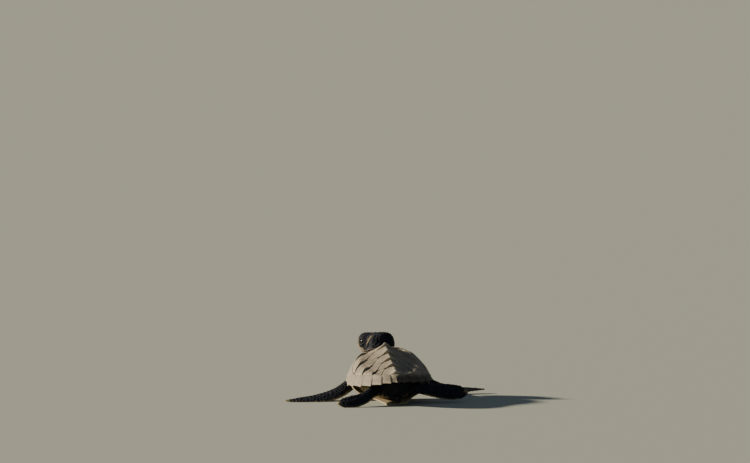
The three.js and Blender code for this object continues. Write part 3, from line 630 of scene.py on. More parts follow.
def loft(stations, power, lead, grow, around=48):
    """A closed skin over a part's stations, grown by so many mm."""
    centre, across, rise, wide, up, down = stations
    angle = np.arange(around) * 2 * math.pi / around
    c, d = (np.sign(k) * np.abs(k) ** (2 / power) for k in (np.cos(angle), np.sin(angle)))
    tall = np.where(d > 0, up[:, None], down[:, None]) + grow
    tall = np.maximum(tall, 0.02) * d * (1 + lead * c)
    broad = np.maximum(wide + grow, 0.02)[:, None] * c
    return closed_form(centre[:, None] + across[:, None] * broad[..., None] + rise[:, None] * tall[..., None])


def trunk(grow):
    """The soft body between the shells: full along the bridge, drawn in where limbs leave it."""
    theta, angle = sphere_grid(0.02, 48, 96)
    height = np.cos(theta)
    turn = (angle + math.pi) % (2 * math.pi) - math.pi
    spread = np.sin(theta) ** 0.75
    wide, y0 = outline(np.abs(turn), 1.08)
    x = np.sign(turn) * wide * lerp(0.76, 0.965, bridge(y0)) * spread
    y = SHELL_WIDEST_Y - 0.5 + (y0 - SHELL_WIDEST_Y) * spread * 0.93
    roof, floor = dome(x, y) - PLATE - GAP, plastron_under(x, y) + PLASTRON_PLATE + GAP
    middle = lerp(floor, roof, 0.35)
    share = np.abs(height)
    z = np.where(height > 0, lerp(middle, roof, share**0.45), lerp(middle, floor, share**0.4))
    out = unit(np.stack([x, y - SHELL_WIDEST_Y, x * 0], -1)) * grow
    points, faces = closed_form(np.stack([x, y, z + np.sign(height) * grow * 0.6], -1) + out)
    return moved(BODY, points), faces


def ball(centre, radii):
    """A closed ball in the head's frame, for a muscle or an eye socket under the skin."""
    theta, phi = sphere_grid(0.02, 24, 32)
    sphere = np.stack([np.sin(theta) * np.cos(phi), np.sin(theta) * np.sin(phi), np.cos(theta)], -1)
    points, faces = closed_form(np.array(centre) + sphere * np.array(radii))
    return moved(HEAD, points), faces


forms = [loft(*part, grow=-COAT) for part in PARTS.values()] + [trunk(-COAT)]
for side in (-1, 1):
    forms.append(ball(eye_at(side), (2.3, 2.7, 2.45)))  # eye socket
    forms.append(ball((side * 2.9, 2.2, 2.9), (2.2, 3.4, 1.5)))  # brow
    forms.append(ball((side * 3.6, -3.0, 0.6), (2.6, 4.0, 3.9)))  # jaw muscle
faces, start = [], 0
for form_points, form_faces in forms:
    faces += [[k + start for k in face] for face in form_faces]
    start += len(form_points)
mesh = bpy.data.meshes.new("forms")
mesh.from_pydata(np.concatenate([form_points for form_points, _ in forms]).tolist(), [], faces)
body_forms = bpy.data.objects.new("forms", mesh)
bpy.context.scene.collection.objects.link(body_forms)
remesh = body_forms.modifiers.new("hide", "REMESH")
remesh.mode, remesh.voxel_size, remesh.adaptivity = "VOXEL", HIDE_STEP, 0
hide = bpy.data.meshes.new_from_object(body_forms.evaluated_get(bpy.context.evaluated_depsgraph_get()))
bpy.data.objects.remove(body_forms)

skin_points = np.empty(len(hide.vertices) * 3)
hide.vertices.foreach_get("co", skin_points)
skin_points = skin_points.reshape(-1, 3)
skin_faces = np.empty(len(hide.loops), np.int64)
hide.loops.foreach_get("vertex_index", skin_faces)
skin_faces = skin_faces.reshape(-1, 4)
edges = np.concatenate([skin_faces[:, [k, (k + 1) % 4]] for k in range(4)])


def neighbours_mean(values):
    """The mean of every skin point's neighbours."""
    total, count = np.zeros_like(values), np.zeros(len(values))
    for a, b in ((0, 1), (1, 0)):
        np.add.at(total, edges[:, a], values[edges[:, b]])
        np.add.at(count, edges[:, a], 1)
    return total / count[:, None]


def skin_normals():
    a, b, c, d = (skin_points[skin_faces[:, k]] for k in range(4))
    face_normal = np.cross(c - a, d - b)
    total = np.zeros_like(skin_points)
    for k in range(4):
        np.add.at(total, skin_faces[:, k], face_normal)
    return unit(total)


def clear_of_shell(points):
    """Points kept under the carapace, over the plastron and off the floor, with room for the
    scales."""
    x, y, z = moved(BODY.inverted(), points).T
    w0, w1 = half_width(y), half_width(y, 1)
    r = np.clip((np.abs(x) - w1) / np.maximum(w0 - w1, 0.3), 0, 1)
    within = (np.abs(x) < w0 + 0.25) & (w0 > 0.5)
    under = dome(x, y) - PLATE - GAP - droop(y, r)
    wedge_under = np.minimum(margin_height(y) - lerp(0.35, 1.0, r) - GAP, under)
    roof = np.where(r > 0, lerp(under, wedge_under, bridge(y)), under) - COAT
    z = np.where(within & (z > roof), roof, z)
    belly = plastron_under(x, y) + PLASTRON_PLATE + COAT
    over = (y > PLASTRON_REAR - 0.2) & (y < PLASTRON_FRONT + 0.2)
    over &= (np.abs(x) < through(PLASTRON_SIDE, y) + 0.2) & (z < belly) & (z > belly - 4)
    z = np.where(over, belly, z)
    points = moved(BODY, np.stack([x, y, z], -1))
    points[:, 2] = np.maximum(points[:, 2], COAT)
    return points


def place_on_parts(points):
    """Which part each point is on, with its place along, across and up in that part."""
    best, found = np.full(len(points), np.inf), np.zeros((len(points), 4))
    for index, (stations, _, _) in enumerate(PARTS.values()):
        centre, across, rise, wide, up, _ = (k[::3] for k in stations)
        radius = np.maximum(wide, 0.6)
        for start in range(0, len(points), 8000):
            some = slice(start, start + 8000)
            away = np.linalg.norm(points[some, None] - centre, axis=-1)
            k = np.argmin(away / (radius + 1.5), axis=1)
            ratio = away[np.arange(len(k)), k] / radius[k]
            offset = points[some] - centre[k]
            c = np.einsum("ij,ij->i", offset, across[k]) / np.maximum(wide[k], 0.5)
            d = np.einsum("ij,ij->i", offset, rise[k]) / np.maximum(up[k], 0.3)
            better = ratio < best[some]
            best[some] = np.where(better, ratio, best[some])
            row = np.stack([k * 0 + index + 1, s[::3][k], c, d], -1)
            found[some] = np.where(better[:, None], row, found[some])
    found[best > 1.35, 0] = 0
    return found


skin_points = clear_of_shell(skin_points)
for _ in range(SMOOTHINGS):
    skin_points = lerp(skin_points, neighbours_mean(skin_points), 0.5)
part_at, along_at, across_at, up_at = place_on_parts(skin_points).T
is_part = {name: part_at == index for index, name in enumerate(PART_NAMES)}
limb_at = part_at >= PART_NAMES.index("front_left")
normals = skin_normals()

# Folds: rings of creases round the neck and where each limb bends, and digits in the blades.
NECK_FOLD, LIMB_FOLD, DIGIT = 0.3, 0.22, 0.07
wander = lumps(skin_points, 2.6, 7)
neck_way = moved(HEAD.inverted(), skin_points)[:, 1]
crease = 1 - np.abs(np.sin(neck_way * math.pi / 2.1 + 1.6 * wander)) ** 0.7
on_neck = np.where(is_part["neck"], smooth(along_at, 0.1, 0.3), 0)
on_neck = np.maximum(on_neck, is_part["head"] * (1 - smooth(along_at, 0.03, 0.14)))
limb_crease = 1 - np.abs(np.sin(along_at * 46 + 1.8 * wander)) ** 0.7
digit = np.cos(across_at * math.pi * 2.5) * smooth(np.abs(up_at), 0.3, 0.9)
digit *= band(along_at, 0.42, 0.6, 0.9, 1)
fold = limb_at * (DIGIT * digit - LIMB_FOLD * limb_crease * (1 - smooth(along_at, 0.22, 0.42)))
fold += 0.06 * lumps(skin_points, 0.9, 8) * ~is_part["head"] - NECK_FOLD * crease * on_neck
skin_points = skin_points + normals * np.where(fold > 0, fold / 2, fold)[:, None]
skin_points = clear_of_shell(skin_points)
normals = skin_normals()


def leathery_skin():
    """Young reptile skin, dry with a low sheen: brown-black, paler between the scales, tan and cream along
    the edges, tips and undersides of the limbs and on the throat, with a painted highlight in a pale streak
    behind each eye. Its granules are drawn a little coarser than real ones, to show."""
    material, tree, surface = finish("dry_reptile_skin", {"IOR": 1.45, "Specular IOR Level": 0.12})
    place = node(tree, "TexCoord").outputs["Object"]
    tone, pale = (node(tree, "Attribute", attribute_name=key).outputs["Fac"] for key in ("tone", "pale"))
    cloud = node(tree, "TexNoise", {"Scale": per_mm(1.8), "Detail": 4, "Roughness": 0.6}, {"Vector": place})
    range_of = {"From Min": 0.3, "From Max": 0.75, "To Min": -0.2, "To Max": 0.25}
    patch = node(tree, "MapRange", range_of, {"Value": cloud})
    add = {"operation": "ADD", "use_clamp": True}
    shade, edge = (node(tree, "Math", links={0: mark, 1: patch}, **add) for mark in (tone, pale))
    hide = node(tree, "ValToRGB", links={"Fac": shade}, stops=[(0, "#101319"), (1, "#2e3036")])
    tan = node(tree, "ValToRGB", links={"Fac": edge}, stops=[(0.15, "#483e30"), (0.85, "#a8976f")])
    both = node(tree, "Mix", links={0: edge, 6: hide, 7: tan}, data_type="RGBA")
    grain = node(tree, "TexNoise", {"Scale": per_mm(0.35), "Detail": 4, "Roughness": 0.65}, {"Vector": place})
    rough = node(tree, "MapRange", {"To Min": 0.6, "To Max": 0.82}, {"Value": grain})
    bump = node(tree, "Bump", {"Strength": 0.4, "Distance": 0.06 * MM}, {"Height": grain})
    wire(tree, surface, {"Base Color": both.outputs[2], "Roughness": rough, "Normal": bump})
    return material


SKIN = leathery_skin()


def pale_marks(points, facing):
    """How pale the animal is at each point: the same for its skin and its scales."""
    part, s, c, _ = place_on_parts(points).T
    at_part = {name: part == index for index, name in enumerate(PART_NAMES)}
    under = smooth(-facing[:, 2], 0.1, 0.7)
    outer = smooth(s, 0.25, 0.4)
    trailing = smooth(-c, 0.72, 0.98) * outer
    leading = np.where(part >= PART_NAMES.index("rear_left"), 0.85, 0.4) * smooth(c, 0.84, 1.0) * outer
    blades = np.maximum.reduce([trailing, leading, 0.9 * smooth(s, 0.88, 0.99), 0.35 * under])
    blades *= part >= PART_NAMES.index("front_left")
    face = moved(HEAD.inverted(), points)
    patchy = 0.75 + 0.45 * lumps(face, 1.1, 9)
    chin = 0.75 * smooth(0.6 * lumps(face, 1.6, 10) - face[:, 2], 1.2, 4.2)
    chin *= at_part["head"] | at_part["neck"]
    snout = 0.85 * smooth(face[:, 1] - 0.5 * face[:, 2], 3.6, 6.6) * patchy * at_part["head"]
    # A pale streak behind each eye, where the side of the head turns to its back: a painted highlight.
    away = np.abs(face[:, 1] + 1.1 + 0.2 * face[:, 2])
    streak = 0.65 * (1 - smooth(away, 0.3, 0.75)) * smooth(face[:, 2], -1.2, 0)  # behind the eye
    streak *= smooth(np.abs(face[:, 0]), 3.4, 4.2) * patchy * at_part["head"]
    low = moved(BODY.inverted(), points)
    wall = 0.85 * (1 - smooth(low[:, 2], 5.6, 6.8)) * band(low[:, 1], -15, -13, 8, 11)
    belly = np.maximum(wall, 0.5 * smooth(-facing[:, 2], 0.0, 0.7)) * at_part["trunk"]
    return np.clip(np.maximum.reduce([blades, chin, snout, streak, belly]), 0, 1)


# ---- Eyes and lids ------------------------------------------------------------------------
# Large dark eyes sit deep in their sockets, wet and glossy, with thick wrinkled lids. The lid
# is skin: its rim is a rolled edge round the almond opening, in the same piece as the hide.

EYE_RADIUS, SOCKET_DEPTH = 1.95, 1.72  # the globe, and how far the skin sinks behind its rim
LID_AROUND, LID_ACROSS = 72, 14
GAZE = unit(np.array([1.0, 0.2, 0.14]))
head_points = moved(HEAD.inverted(), skin_points)


def eye_frame(side):
    """The eye's centre and its outward, forward and upward directions, in the head's frame."""
    out = GAZE * (side, 1, 1)
    fore = unit(np.array([0, 1, 0]) - out * out[1])
    return np.array(eye_at(side)), out, fore, np.cross(out, fore) * side


def round_the_eye(side, points):
    """Each point's distance from the eye's centre, its angle off the gaze, and its way round."""
    centre, *axes = eye_frame(side)
    offset = points - centre
    a, b, c = (offset @ axis for axis in axes)
    return offset, np.linalg.norm(offset, axis=1), np.arctan2(np.hypot(b, c), a), np.arctan2(c, b)


def directions(side, theta, phi):
    """Directions at angles off the gaze and round it."""
    _, out, fore, above = eye_frame(side)
    ring = fore * np.cos(phi)[..., None] + above * np.sin(phi)[..., None]
    return out * np.cos(theta)[..., None] + ring * np.sin(theta)[..., None]


def opening(phi):
    """Half-angle of the lids' opening, in each direction round the gaze."""
    return np.radians(36 + 9 * np.cos(phi) ** 2 - 3 * np.clip(np.sin(phi), 0, 1))


lid_points, lid_faces = [], []
around, across = np.arange(LID_AROUND) / LID_AROUND, np.arange(LID_ACROSS) / LID_ACROSS
phi, psi = np.meshgrid(2 * math.pi * around, 2 * math.pi * across, indexing="ij")
at = np.arange(phi.size).reshape(phi.shape)
turned = np.roll(at, -1, axis=0)
lid_quads = np.stack([at, turned, np.roll(turned, -1, 1), np.roll(at, -1, 1)], -1).reshape(-1, 4)
thick = 0.3 + 0.08 * np.sin(phi) ** 2 + 0.03 * np.cos(9 * phi)  # wrinkled
for side in (-1, 1):
    centre = eye_frame(side)[0]
    offset, distance, theta, way = round_the_eye(side, head_points)
    inner = (theta < opening(way) + 0.12) & (distance < 3.6)
    sunk = centre + offset * (np.minimum(distance, SOCKET_DEPTH) / np.maximum(distance, 0.1))[:, None]
    head_points = np.where(inner[:, None], sunk, head_points)
    tilt = opening(phi) + 0.1 + thick / 2.1 * np.cos(psi)
    reach = EYE_RADIUS + 0.16 + thick * np.sin(psi)
    lid = moved(HEAD, (centre + directions(side, tilt, phi) * reach[..., None]).reshape(-1, 3))
    lid_faces.append(outward(lid, lid_quads) + len(skin_points) + sum(map(len, lid_points)))
    lid_points.append(lid)

MOUTH_FALL = math.radians(9)  # how far the mouth slopes down towards the snout


def mouth_line(y):
    """Height of the mouth in the head's frame."""
    return -1.9 / math.cos(MOUTH_FALL) - y * math.tan(MOUTH_FALL)


on_mouth = smooth(head_points[:, 1], 0.2, 1.2) * (np.abs(head_points[:, 0]) > 0.5) * is_part["head"]
slit = bell(head_points[:, 2] - mouth_line(head_points[:, 1]), 0.3) * on_mouth
head_points = head_points - unit(head_points * (1, 0.25, 0)) * (0.35 * slit)[:, None]
nostril = np.zeros(len(skin_points))
for side in (-1, 1):
    away = np.linalg.norm((head_points - (side * 0.85, 7.7, 1.7)) * (1, 1, 1.3), axis=1)
    nostril = np.maximum(nostril, bell(away, 0.42))
head_points[:, 1] -= 0.7 * nostril
skin_points = np.where(is_part["head"][:, None], moved(HEAD, head_points), skin_points)
normals = skin_normals()

hide_points = np.concatenate([skin_points, *lid_points])
hide_faces = np.concatenate([outward(skin_points, skin_faces), *lid_faces]).tolist()
lid_count = sum(map(len, lid_points))
pale = np.r_[pale_marks(skin_points, normals) * (1 - nostril), np.zeros(lid_count)]
# The skin's tone drops in the nostril pits, as painted shade.
tone = np.r_[0.62 - 0.6 * nostril, np.full(lid_count, 0.5)]
flesh = ["head", "lower_jaw", "neck", "trunk", "tail"]
limb_parts = ("upper_arm", "front_flipper", "thigh", "rear_flipper")
flesh += [f"{kind}_{side}" for side in ("left", "right") for kind in limb_parts]
new_piece("skin", hide_points, hide_faces, SKIN, *flesh, pale=pale, tone=tone)


def wet_eye():
    """A hatchling's eye: almost black, a dark brown iris round a black pupil, under a clear
    wet surface."""
    wet = {"IOR": 1.38, "Roughness": 0.15, "Coat Weight": 0.3, "Coat Roughness": 0.03}
    material, tree, surface = finish("wet_dark_eye", wet)
    ring = node(tree, "Attribute", attribute_name="ring").outputs["Fac"]
    colours = [(0.3, "#050505"), (0.36, "#2a1d12"), (0.62, "#15100c")]
    wire(tree, surface, {"Base Color": node(tree, "ValToRGB", links={"Fac": ring}, stops=colours)})
    return material


EYE = wet_eye()
theta, phi = sphere_grid(0.01, 40, 64)
cornea = 0.06 * bell(theta, 0.45)
for side, name in ((-1, "eye_left"), (1, "eye_right")):
    globe = eye_frame(side)[0] + directions(side, theta, phi) * (EYE_RADIUS - 0.06 + cornea)[..., None]
    points = moved(HEAD, globe.reshape(-1, 3))
    new_piece(f"wet_{name}", points, ring_quads(*theta.shape), EYE, name, ring=theta.ravel())

# ---- Beak ---------------------------------------------------------------------------------
# Two horny sheaths cover the jaws' edges. The upper one is deepest and hooked in front, thins
# to a rim along the cheek, and closes over the lower one.

BEAK_UNDER_HEAD = 0.14  # how far the sheath's bed lies inside the head's own form
BEAK_BACK_Y, BEAK_REACH, BEAK_TURN = 0.4, 7.5, math.radians(86)
skull_points, skull_faces = loft(skull(s), HEAD_POWER, 0, -BEAK_UNDER_HEAD, around=64)
skull_tree = BVHTree.FromPolygons([tuple(p) for p in skull_points], skull_faces)


def horny_sheath():
    """Smooth young horn with a soft shine, brown and faintly streaked."""
    material, tree, surface = finish("smooth_brown_horn", {"IOR": 1.55})
    place = node(tree, "TexCoord").outputs["Object"]
    streak = node(tree, "TexNoise", {"Scale": per_mm(0.7), "Detail": 4, "Distortion": 0.6}, {"Vector": place})
    colour = node(tree, "ValToRGB", links={"Fac": streak}, stops=[(0.35, "#62543f"), (0.7, "#a18d6e")])
    rough = node(tree, "MapRange", {"To Min": 0.34, "To Max": 0.55}, {"Value": streak})
    bump = node(tree, "Bump", {"Strength": 0.25, "Distance": 0.05 * MM}, {"Height": streak})
    wire(tree, surface, {"Base Color": colour, "Roughness": rough, "Normal": bump})
    return material


HORN = horny_sheath()


def sheath(name, top, low, hook, proud):
    """A sheath on the head's own form, between two heights above or below the mouth."""
    rows = []
    for a in np.linspace(-1, 1, 81):
        angle = BEAK_TURN * a
        ray = Vector((math.sin(angle), math.cos(angle), 0))
        front = math.cos(angle) ** 2
        row = []
        for v in np.linspace(0, 1, 17):
            height = mouth_line(BEAK_BACK_Y + BEAK_REACH * math.cos(angle)) + lerp(low(front), top(front), v)
            hit, out, _, _ = skull_tree.ray_cast(Vector((0, BEAK_BACK_Y, height)) + ray * 20, -ray)
            out = out if out.dot(ray) > 0 else -out
            edge = min(1.0, min(v, 1 - v) * 6) ** 0.5 * min(1.0, (1 - abs(a)) * 14) ** 0.5
            lift = proud * edge - 0.12 * (1 - edge)
            drop = Vector((0, 0, -hook * bell(a, 0.11) * (1 - v) ** 2))
            row.append((tuple(hit + out * lift + drop), tuple(hit - out * 0.5 + drop)))
        rows.append(row)
    grid = np.array(rows)
    points, faces = slab(grid[:, :, 0], grid[:, :, 1])
    new_piece(f"sheath_{name}", moved(HEAD, points), faces, HORN, name)


sheath("upper_beak", lambda f: 0.8 + 2.7 * f**1.5, lambda f: 0.05, 0.6, 0.1)
sheath("lower_beak", lambda f: -0.12, lambda f: -0.6 - 1.1 * f, 0.0, 0.02)

# ---- Claws --------------------------------------------------------------------------------
# One short claw stands on the leading edge of each flipper, past the middle of the blade: a
# curved cone of hard brown horn, its foot sunk in the skin.

CLAW_LENGTH, CLAW_RADIUS = 1.2, 0.38
t, phi = np.meshgrid(np.linspace(0, 1, 16), np.arange(20) * math.pi / 10, indexing="ij")
radius = CLAW_RADIUS * (1 - t) ** 0.7 + 0.01
for name in LIMBS:
    place_at = 0.56 if name.startswith("front") else 0.62
    stations = PARTS[name][0]
    centre, across, rise = (np.array([np.interp(place_at, s, k) for k in axis.T]) for axis in stations[:3])
    way = unit(np.cross(across, rise))
    way = way * np.sign(way @ (stations[0][-1] - stations[0][0]))
    point, curl = unit(across * 0.5 + way * 0.85), unit(across * 0.85 - way * 0.5)
    foot = centre + across * np.interp(place_at, s, stations[3]) * 0.95 - point * 0.2
    axis = point * (t * (CLAW_LENGTH + 0.15))[..., None] - curl * (0.28 * t**2)[..., None]
    ring = curl * (radius * np.cos(phi))[..., None] + unit(rise) * (0.85 * radius * np.sin(phi))[..., None]
    points = (foot + axis + ring).reshape(-1, 3)
    points[:, 2] = np.maximum(points[:, 2], 0.02)
    new_piece(f"horn_claw_{name}", points, ring_quads(*t.shape), HORN, f"claw_{name}")


# ---- Scales -------------------------------------------------------------------------------
# Small flat horny scales pave the skin: broad shields on the head, a row of large ones along
# each flipper's leading edge, finer ones over the neck, shoulders, thighs and tail. Each is a
# closed pillow of keratin rooted in the skin, and its neighbours leave a thin crease.

CREASE, CLOSE = 0.1, 0.84  # width between neighbours, and how close their roots may be
HEAD_TOP = [  # shields seen from above: place across and along the head, and half-size
    (0, 5.1, 0.5), (0.85, 6.1, 0.8), (1.2, 4.3, 0.95), (0, 3.1, 0.8), (2.8, 3.7, 0.85), (3.1, 1.6, 1.05),
    (0, 0.6, 1.9), (1.95, -2.7, 1.75), (0, -5.3, 1.1), (4.0, -0.9, 1.0), (4.4, -3.1, 1.15), (2.5, -5.9, 1.1),
]
HEAD_SIDE = [  # shields seen from the side: place along and up the head, and half-size
    (-1.2, 2.4, 0.8), (-1.5, 0.8, 0.85), (-1.1, -0.8, 0.8), (-3.4, 1.7, 1.1), (-3.6, -0.6, 1.25),
    (-5.6, 0.6, 1.0), (-5.4, -1.9, 0.95), (-0.8, -2.3, 0.85), (-2.9, -2.9, 0.95), (5.2, 1.2, 0.65),
    (3.5, -1.5, 0.55), (1.7, -1.5, 0.55), (1.6, -3.3, 0.8), (3.6, -3.5, 0.75),
]
EDGE_ROWS = [(1, 0.3, 0.95), (-1, 0.36, 0.6)]  # a flipper's edge, where its row starts, half-size
AROUND = 16
RINGS = [(1.0, -0.07), (0.94, 0.05), (0.75, 0.1), (0.42, 0.12)]  # share of the outline, height
TOP, ROOT = AROUND * len(RINGS), AROUND * len(RINGS) + 1  # the last two of a scale's points
TOP_HEIGHT, ROOT_DEPTH = 0.125, 0.1
TEXTURE_HALF = 0.0015  # a scale's half-size on the texture
SIGHT_LINES = unit(np.array([way for way in np.ndindex(3, 3, 3) if way != (1, 1, 1)], float) - 1)


def search_tree(points):
    tree = KDTree(len(points))
    for index, point in enumerate(points):
        tree.insert(point, index)
    tree.balance()
    return tree


skin_tree = BVHTree.FromPolygons(skin_points.tolist(), skin_faces.tolist())
skin_kd = search_tree(skin_points)
shell_points, shell_faces = [], []
for name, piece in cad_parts.items():
    if name.startswith(("vertebral", "costal", "marginals", "nuchal", "plastron")):
        shell_faces += [[k + len(shell_points) for k in face.vertices] for face in piece.data.polygons]
        shell_points += [vertex.co / MM for vertex in piece.data.vertices]
shell_tree = BVHTree.FromPolygons(shell_points, shell_faces)

head_at = moved(HEAD.inverted(), skin_points)
blade_size = np.where(part_at < PART_NAMES.index("rear_left"), 0.72, 0.66)
on_limb = lerp(0.45, blade_size, smooth(along_at, 0.2, 0.5))
places = [is_part["head"], is_part["neck"], is_part["tail"], limb_at]
size = np.select(places, [0.5, 0.45, 0.42, on_limb], 0.5)
size = np.where(limb_at & (normals[:, 2] < -0.2), size * 0.85, size)
bare = nostril > 0.2
for side in (-1, 1):
    _, distance, theta, way = round_the_eye(side, head_at)
    bare |= (distance < 3.8) & (theta < opening(way) + 0.3)
    size = np.where((distance < 3.8) & (theta < 1.25), 0.36, size)
front = np.clip(np.cos(np.arctan2(head_at[:, 0], head_at[:, 1] - BEAK_BACK_Y)), 0, 1) ** 2
over_mouth = head_at[:, 2] - mouth_line(head_at[:, 1])
bare |= (head_at[:, 1] > 0.9) & (over_mouth < 0.65 + 2.7 * front**1.5) & (over_mouth > -0.5 - 1.1 * front)
size = np.where(is_part["head"] & (head_at[:, 1] > 3), np.minimum(size, 0.42), size)

seeds, seed_size, free = [], [], ~bare


def settle(index, half):
    """Takes a skin point as a scale's root, and its surroundings off the list."""
    seeds.append(index)
    seed_size.append(half)
    for _, other, distance in skin_kd.find_range(skin_points[index], half + 2.4):
        apart = distance + 0.5 * (1 - normals[index] @ normals[other])
        if apart < CLOSE * (half + size[other]):
            free[other] = False


def settle_at(point, half):
    """Settles the skin point nearest to a place, unless it is bare or another scale's."""
    near = skin_kd.find(point)[1]
    away = [np.linalg.norm(skin_points[near] - skin_points[k]) for k in seeds]
    if not bare[near] and not any(d < 0.8 * (half + h) for d, h in zip(away, seed_size)):
        settle(near, half)


head_tree = BVHTree.FromPolygons(head_at.tolist(), skin_faces.tolist())
for x, y, half in HEAD_TOP:
    for side in (-1, 1) if x else (1,):
        settle_at(HEAD @ head_tree.ray_cast(Vector((side * x, y, 12)), Vector((0, 0, -1)))[0], half)
for y, z, half in HEAD_SIDE:
    for side in (-1, 1):
        settle_at(HEAD @ head_tree.ray_cast(Vector((side * 12, y, z)), Vector((-side, 0, 0)))[0], half)
for name in LIMBS:
    centre, across, _, wide, _, _ = PARTS[name][0]
    length = np.r_[0, np.cumsum(np.linalg.norm(np.diff(centre, axis=0), axis=1))]
    for edge, start, half in EDGE_ROWS:
        rim = centre + across * (edge * wide)[:, None]
        for at in np.arange(length[-1] * start, length[-1] - 0.5, 2 * half):
            settle_at(Vector([np.interp(at, length, k) for k in rim.T]), half)
for index in np.random.default_rng(4).permutation(len(skin_points)):
    if free[index]:
        settle(index, size[index])


def in_sight(index):
    """True where a scale could be seen past the shell."""
    start = Vector(skin_points[index] + normals[index] * 0.3)
    rays = [ray for ray in SIGHT_LINES if ray @ normals[index] > 0.1]
    return any(shell_tree.ray_cast(start, Vector(ray))[0] is None for ray in rays)


seen = [k for k in range(len(seeds)) if in_sight(seeds[k])]
seeds, seed_size = np.array(seeds)[seen], np.array(seed_size)[seen]
root, up_way = skin_points[seeds], normals[seeds]
seed_kd = search_tree(root)

# Each outline is cut back, in every direction, where a neighbour's half of the way begins.
first = unit(np.cross(up_way, (0.31, 0.22, 0.93)))
second = np.cross(up_way, first)
phi = np.arange(AROUND) * 2 * math.pi / AROUND
reach = np.zeros((len(seeds), AROUND))
for i in range(len(seeds)):
    total = (1 / (1.3 * seed_size[i])) ** 10 * np.ones(AROUND)
    for _, j, distance in seed_kd.find_range(root[i], seed_size[i] * 1.6 + 2.2):
        if j == i or up_way[i] @ up_way[j] < -0.3 or distance > 1.7 * (seed_size[i] + seed_size[j]):
            continue
        toward = math.atan2((root[j] - root[i]) @ second[i], (root[j] - root[i]) @ first[i])
        cut = max(distance * seed_size[i] / (seed_size[i] + seed_size[j]) - CREASE / 2, 0.1)
        total += (np.clip(np.cos(phi - toward), 0, 1) / cut) ** 10
    reach[i] = total ** -0.1

scale_points, scale_uv = (np.zeros((len(seeds), ROOT + 1, width)) for width in (3, 2))
spoke = first[:, None] * np.cos(phi)[None, :, None] + second[:, None] * np.sin(phi)[None, :, None]
for ring, (share, height) in enumerate(RINGS):
    flat = root[:, None] + spoke * (reach * share)[..., None]
    own = slice(ring * AROUND, (ring + 1) * AROUND)
    scale_uv[:, own] = TEXTURE_HALF * share * np.stack([np.cos(phi), np.sin(phi)], -1)
    for i, k in np.ndindex(len(seeds), AROUND):
        spot, facing, _, _ = skin_tree.find_nearest(flat[i, k])
        facing = facing if facing.dot(up_way[i]) > 0 else -facing
        scale_points[i, ring * AROUND + k] = spot + (facing + Vector(up_way[i])).normalized() * height
scale_points[:, TOP] = root + up_way * TOP_HEIGHT
scale_points[:, ROOT] = root - up_way * ROOT_DEPTH
scale_points[..., 2] = np.maximum(scale_points[..., 2], 0.02)
one_scale = np.roll(ring_quads(len(RINGS), AROUND)[:, ::-1], 1, axis=1).tolist()
lowest = [(k, (k + 1) % AROUND) for k in range(AROUND)]
one_scale += [(a + TOP - AROUND, b + TOP - AROUND, TOP) for a, b in lowest]
one_scale += [(b, a, ROOT) for a, b in lowest]

# On the texture, a part has a cell of its own, with its scales laid out along and round it.
part, s_of_root, c, d = place_on_parts(root).T
trunk_at = moved(BODY.inverted(), root)
x, z = np.where(part == 0, (trunk_at[:, 0], trunk_at[:, 2] - 8), (c, d))
turn = np.arctan2(z, x) / (2 * math.pi) + 0.5
s_of_root = np.where(part == 0, (trunk_at[:, 1] + 25) / 50, s_of_root)
across_cell, up_cell = (part % 4 + 0.05 + 0.9 * turn) / 4, (part // 4 + 0.05 + 0.9 * s_of_root) / 2
scale_uv += np.stack([across_cell, up_cell], -1)[:, None]
tone = np.random.default_rng(5).uniform(0.12, 0.42, len(seeds))[:, None] + np.zeros(ROOT + 1)
tone[:, : 2 * AROUND] += 0.16

GROUPS = {"head": ["head"], "neck_body_tail": ["trunk", "neck", "tail"], **{name: [name] for name in LIMBS}}
for name, parts in GROUPS.items():
    mine = np.flatnonzero(np.isin(part, [PART_NAMES.index(key) for key in parts]))
    points = scale_points[mine].reshape(-1, 3)
    faces = [[k + i * (ROOT + 1) for k in face] for i in range(len(mine)) for face in one_scale]
    pale = pale_marks(points, np.repeat(up_way[mine], ROOT + 1, axis=0))
    made = new_piece(f"scales_{name}", points, faces, SKIN, pale=pale, tone=tone[mine])
    corners = np.empty(len(made.data.loops), np.int32)
    made.data.loops.foreach_get("vertex_index", corners)
    layer = made.data.uv_layers.new(name="OFBake")
    layer.data.foreach_set("uv", scale_uv[mine].reshape(-1, 2)[corners].astype(np.float32).ravel())

# ---- Floor, light and camera --------------------------------------------------------------
# A plain pale floor, one warm light low on the animal's left like a late sun, and a weak cool
# fill. The camera stands low behind the animal and a little to its right.

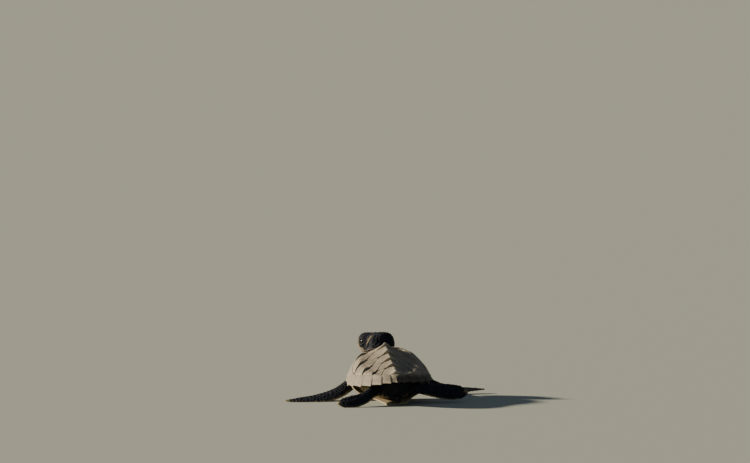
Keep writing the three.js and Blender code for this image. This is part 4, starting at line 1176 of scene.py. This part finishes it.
FLOOR_HALF = 12
VIEW_TURN, VIEW_DOWN, VIEW_FROM = math.radians(8), math.radians(4.5), 3.0
VIEW_WIDTH, VIEW_RIGHT, VIEW_UP = 0.3105, -5.69 * MM, 70.1 * MM  # at the animal's distance
LIGHT_UP, LIGHT_AHEAD = math.radians(19), math.radians(15)


def floor_paint():
    """Matt sand-coloured paint."""
    values = {"Base Color": linear("#a3a595"), "Roughness": 0.95, "Specular IOR Level": 0.1}
    return finish("matt_floor_paint", values)[0]


def on_stage(name, data):
    made = bpy.data.objects.new(name, data)
    bpy.context.scene.collection.objects.link(made)
    return made


mesh = bpy.data.meshes.new("floor")
corners = [(x * FLOOR_HALF, y * FLOOR_HALF, 0) for x, y in ((-1, -1), (1, -1), (1, 1), (-1, 1))]
mesh.from_pydata(corners, [], [(0, 1, 2, 3)])
mesh.materials.append(floor_paint())
on_stage("floor", mesh)

world = bpy.data.worlds.new("studio")
bpy.context.scene.world = world
world.use_nodes = True
world.node_tree.nodes["Background"].inputs["Color"].default_value = linear("#aebfdc")
world.node_tree.nodes["Background"].inputs["Strength"].default_value = 0.27

right = Vector((math.cos(VIEW_TURN), -math.sin(VIEW_TURN), 0))
ahead = Vector((math.sin(VIEW_TURN), math.cos(VIEW_TURN), 0)) * math.cos(VIEW_DOWN)
ahead.z = -math.sin(VIEW_DOWN)
up = right.cross(ahead)
aim = SHIFT.translation * MM + right * VIEW_RIGHT + up * VIEW_UP
lens = bpy.data.cameras.new("camera")
lens.sensor_width = 36
lens.lens = lens.sensor_width * VIEW_FROM / VIEW_WIDTH
lens.clip_start, lens.clip_end = 0.05, 60
camera = on_stage("camera", lens)
turn = Matrix((right, up, -ahead)).transposed().to_4x4()
camera.matrix_world = Matrix.Translation(aim - ahead * VIEW_FROM) @ turn
bpy.context.scene.camera = camera

level = ahead * math.sin(LIGHT_AHEAD) - right * math.cos(LIGHT_AHEAD)
level.z = 0
towards = level.normalized() * math.cos(LIGHT_UP) + Vector((0, 0, math.sin(LIGHT_UP)))
key = bpy.data.lights.new("key", "SUN")
key.energy, key.angle, key.color = 9.0, math.radians(3), linear("#fff3e2")[:3]
on_stage("key", key).matrix_world = towards.to_track_quat("Z", "Y").to_matrix().to_4x4()
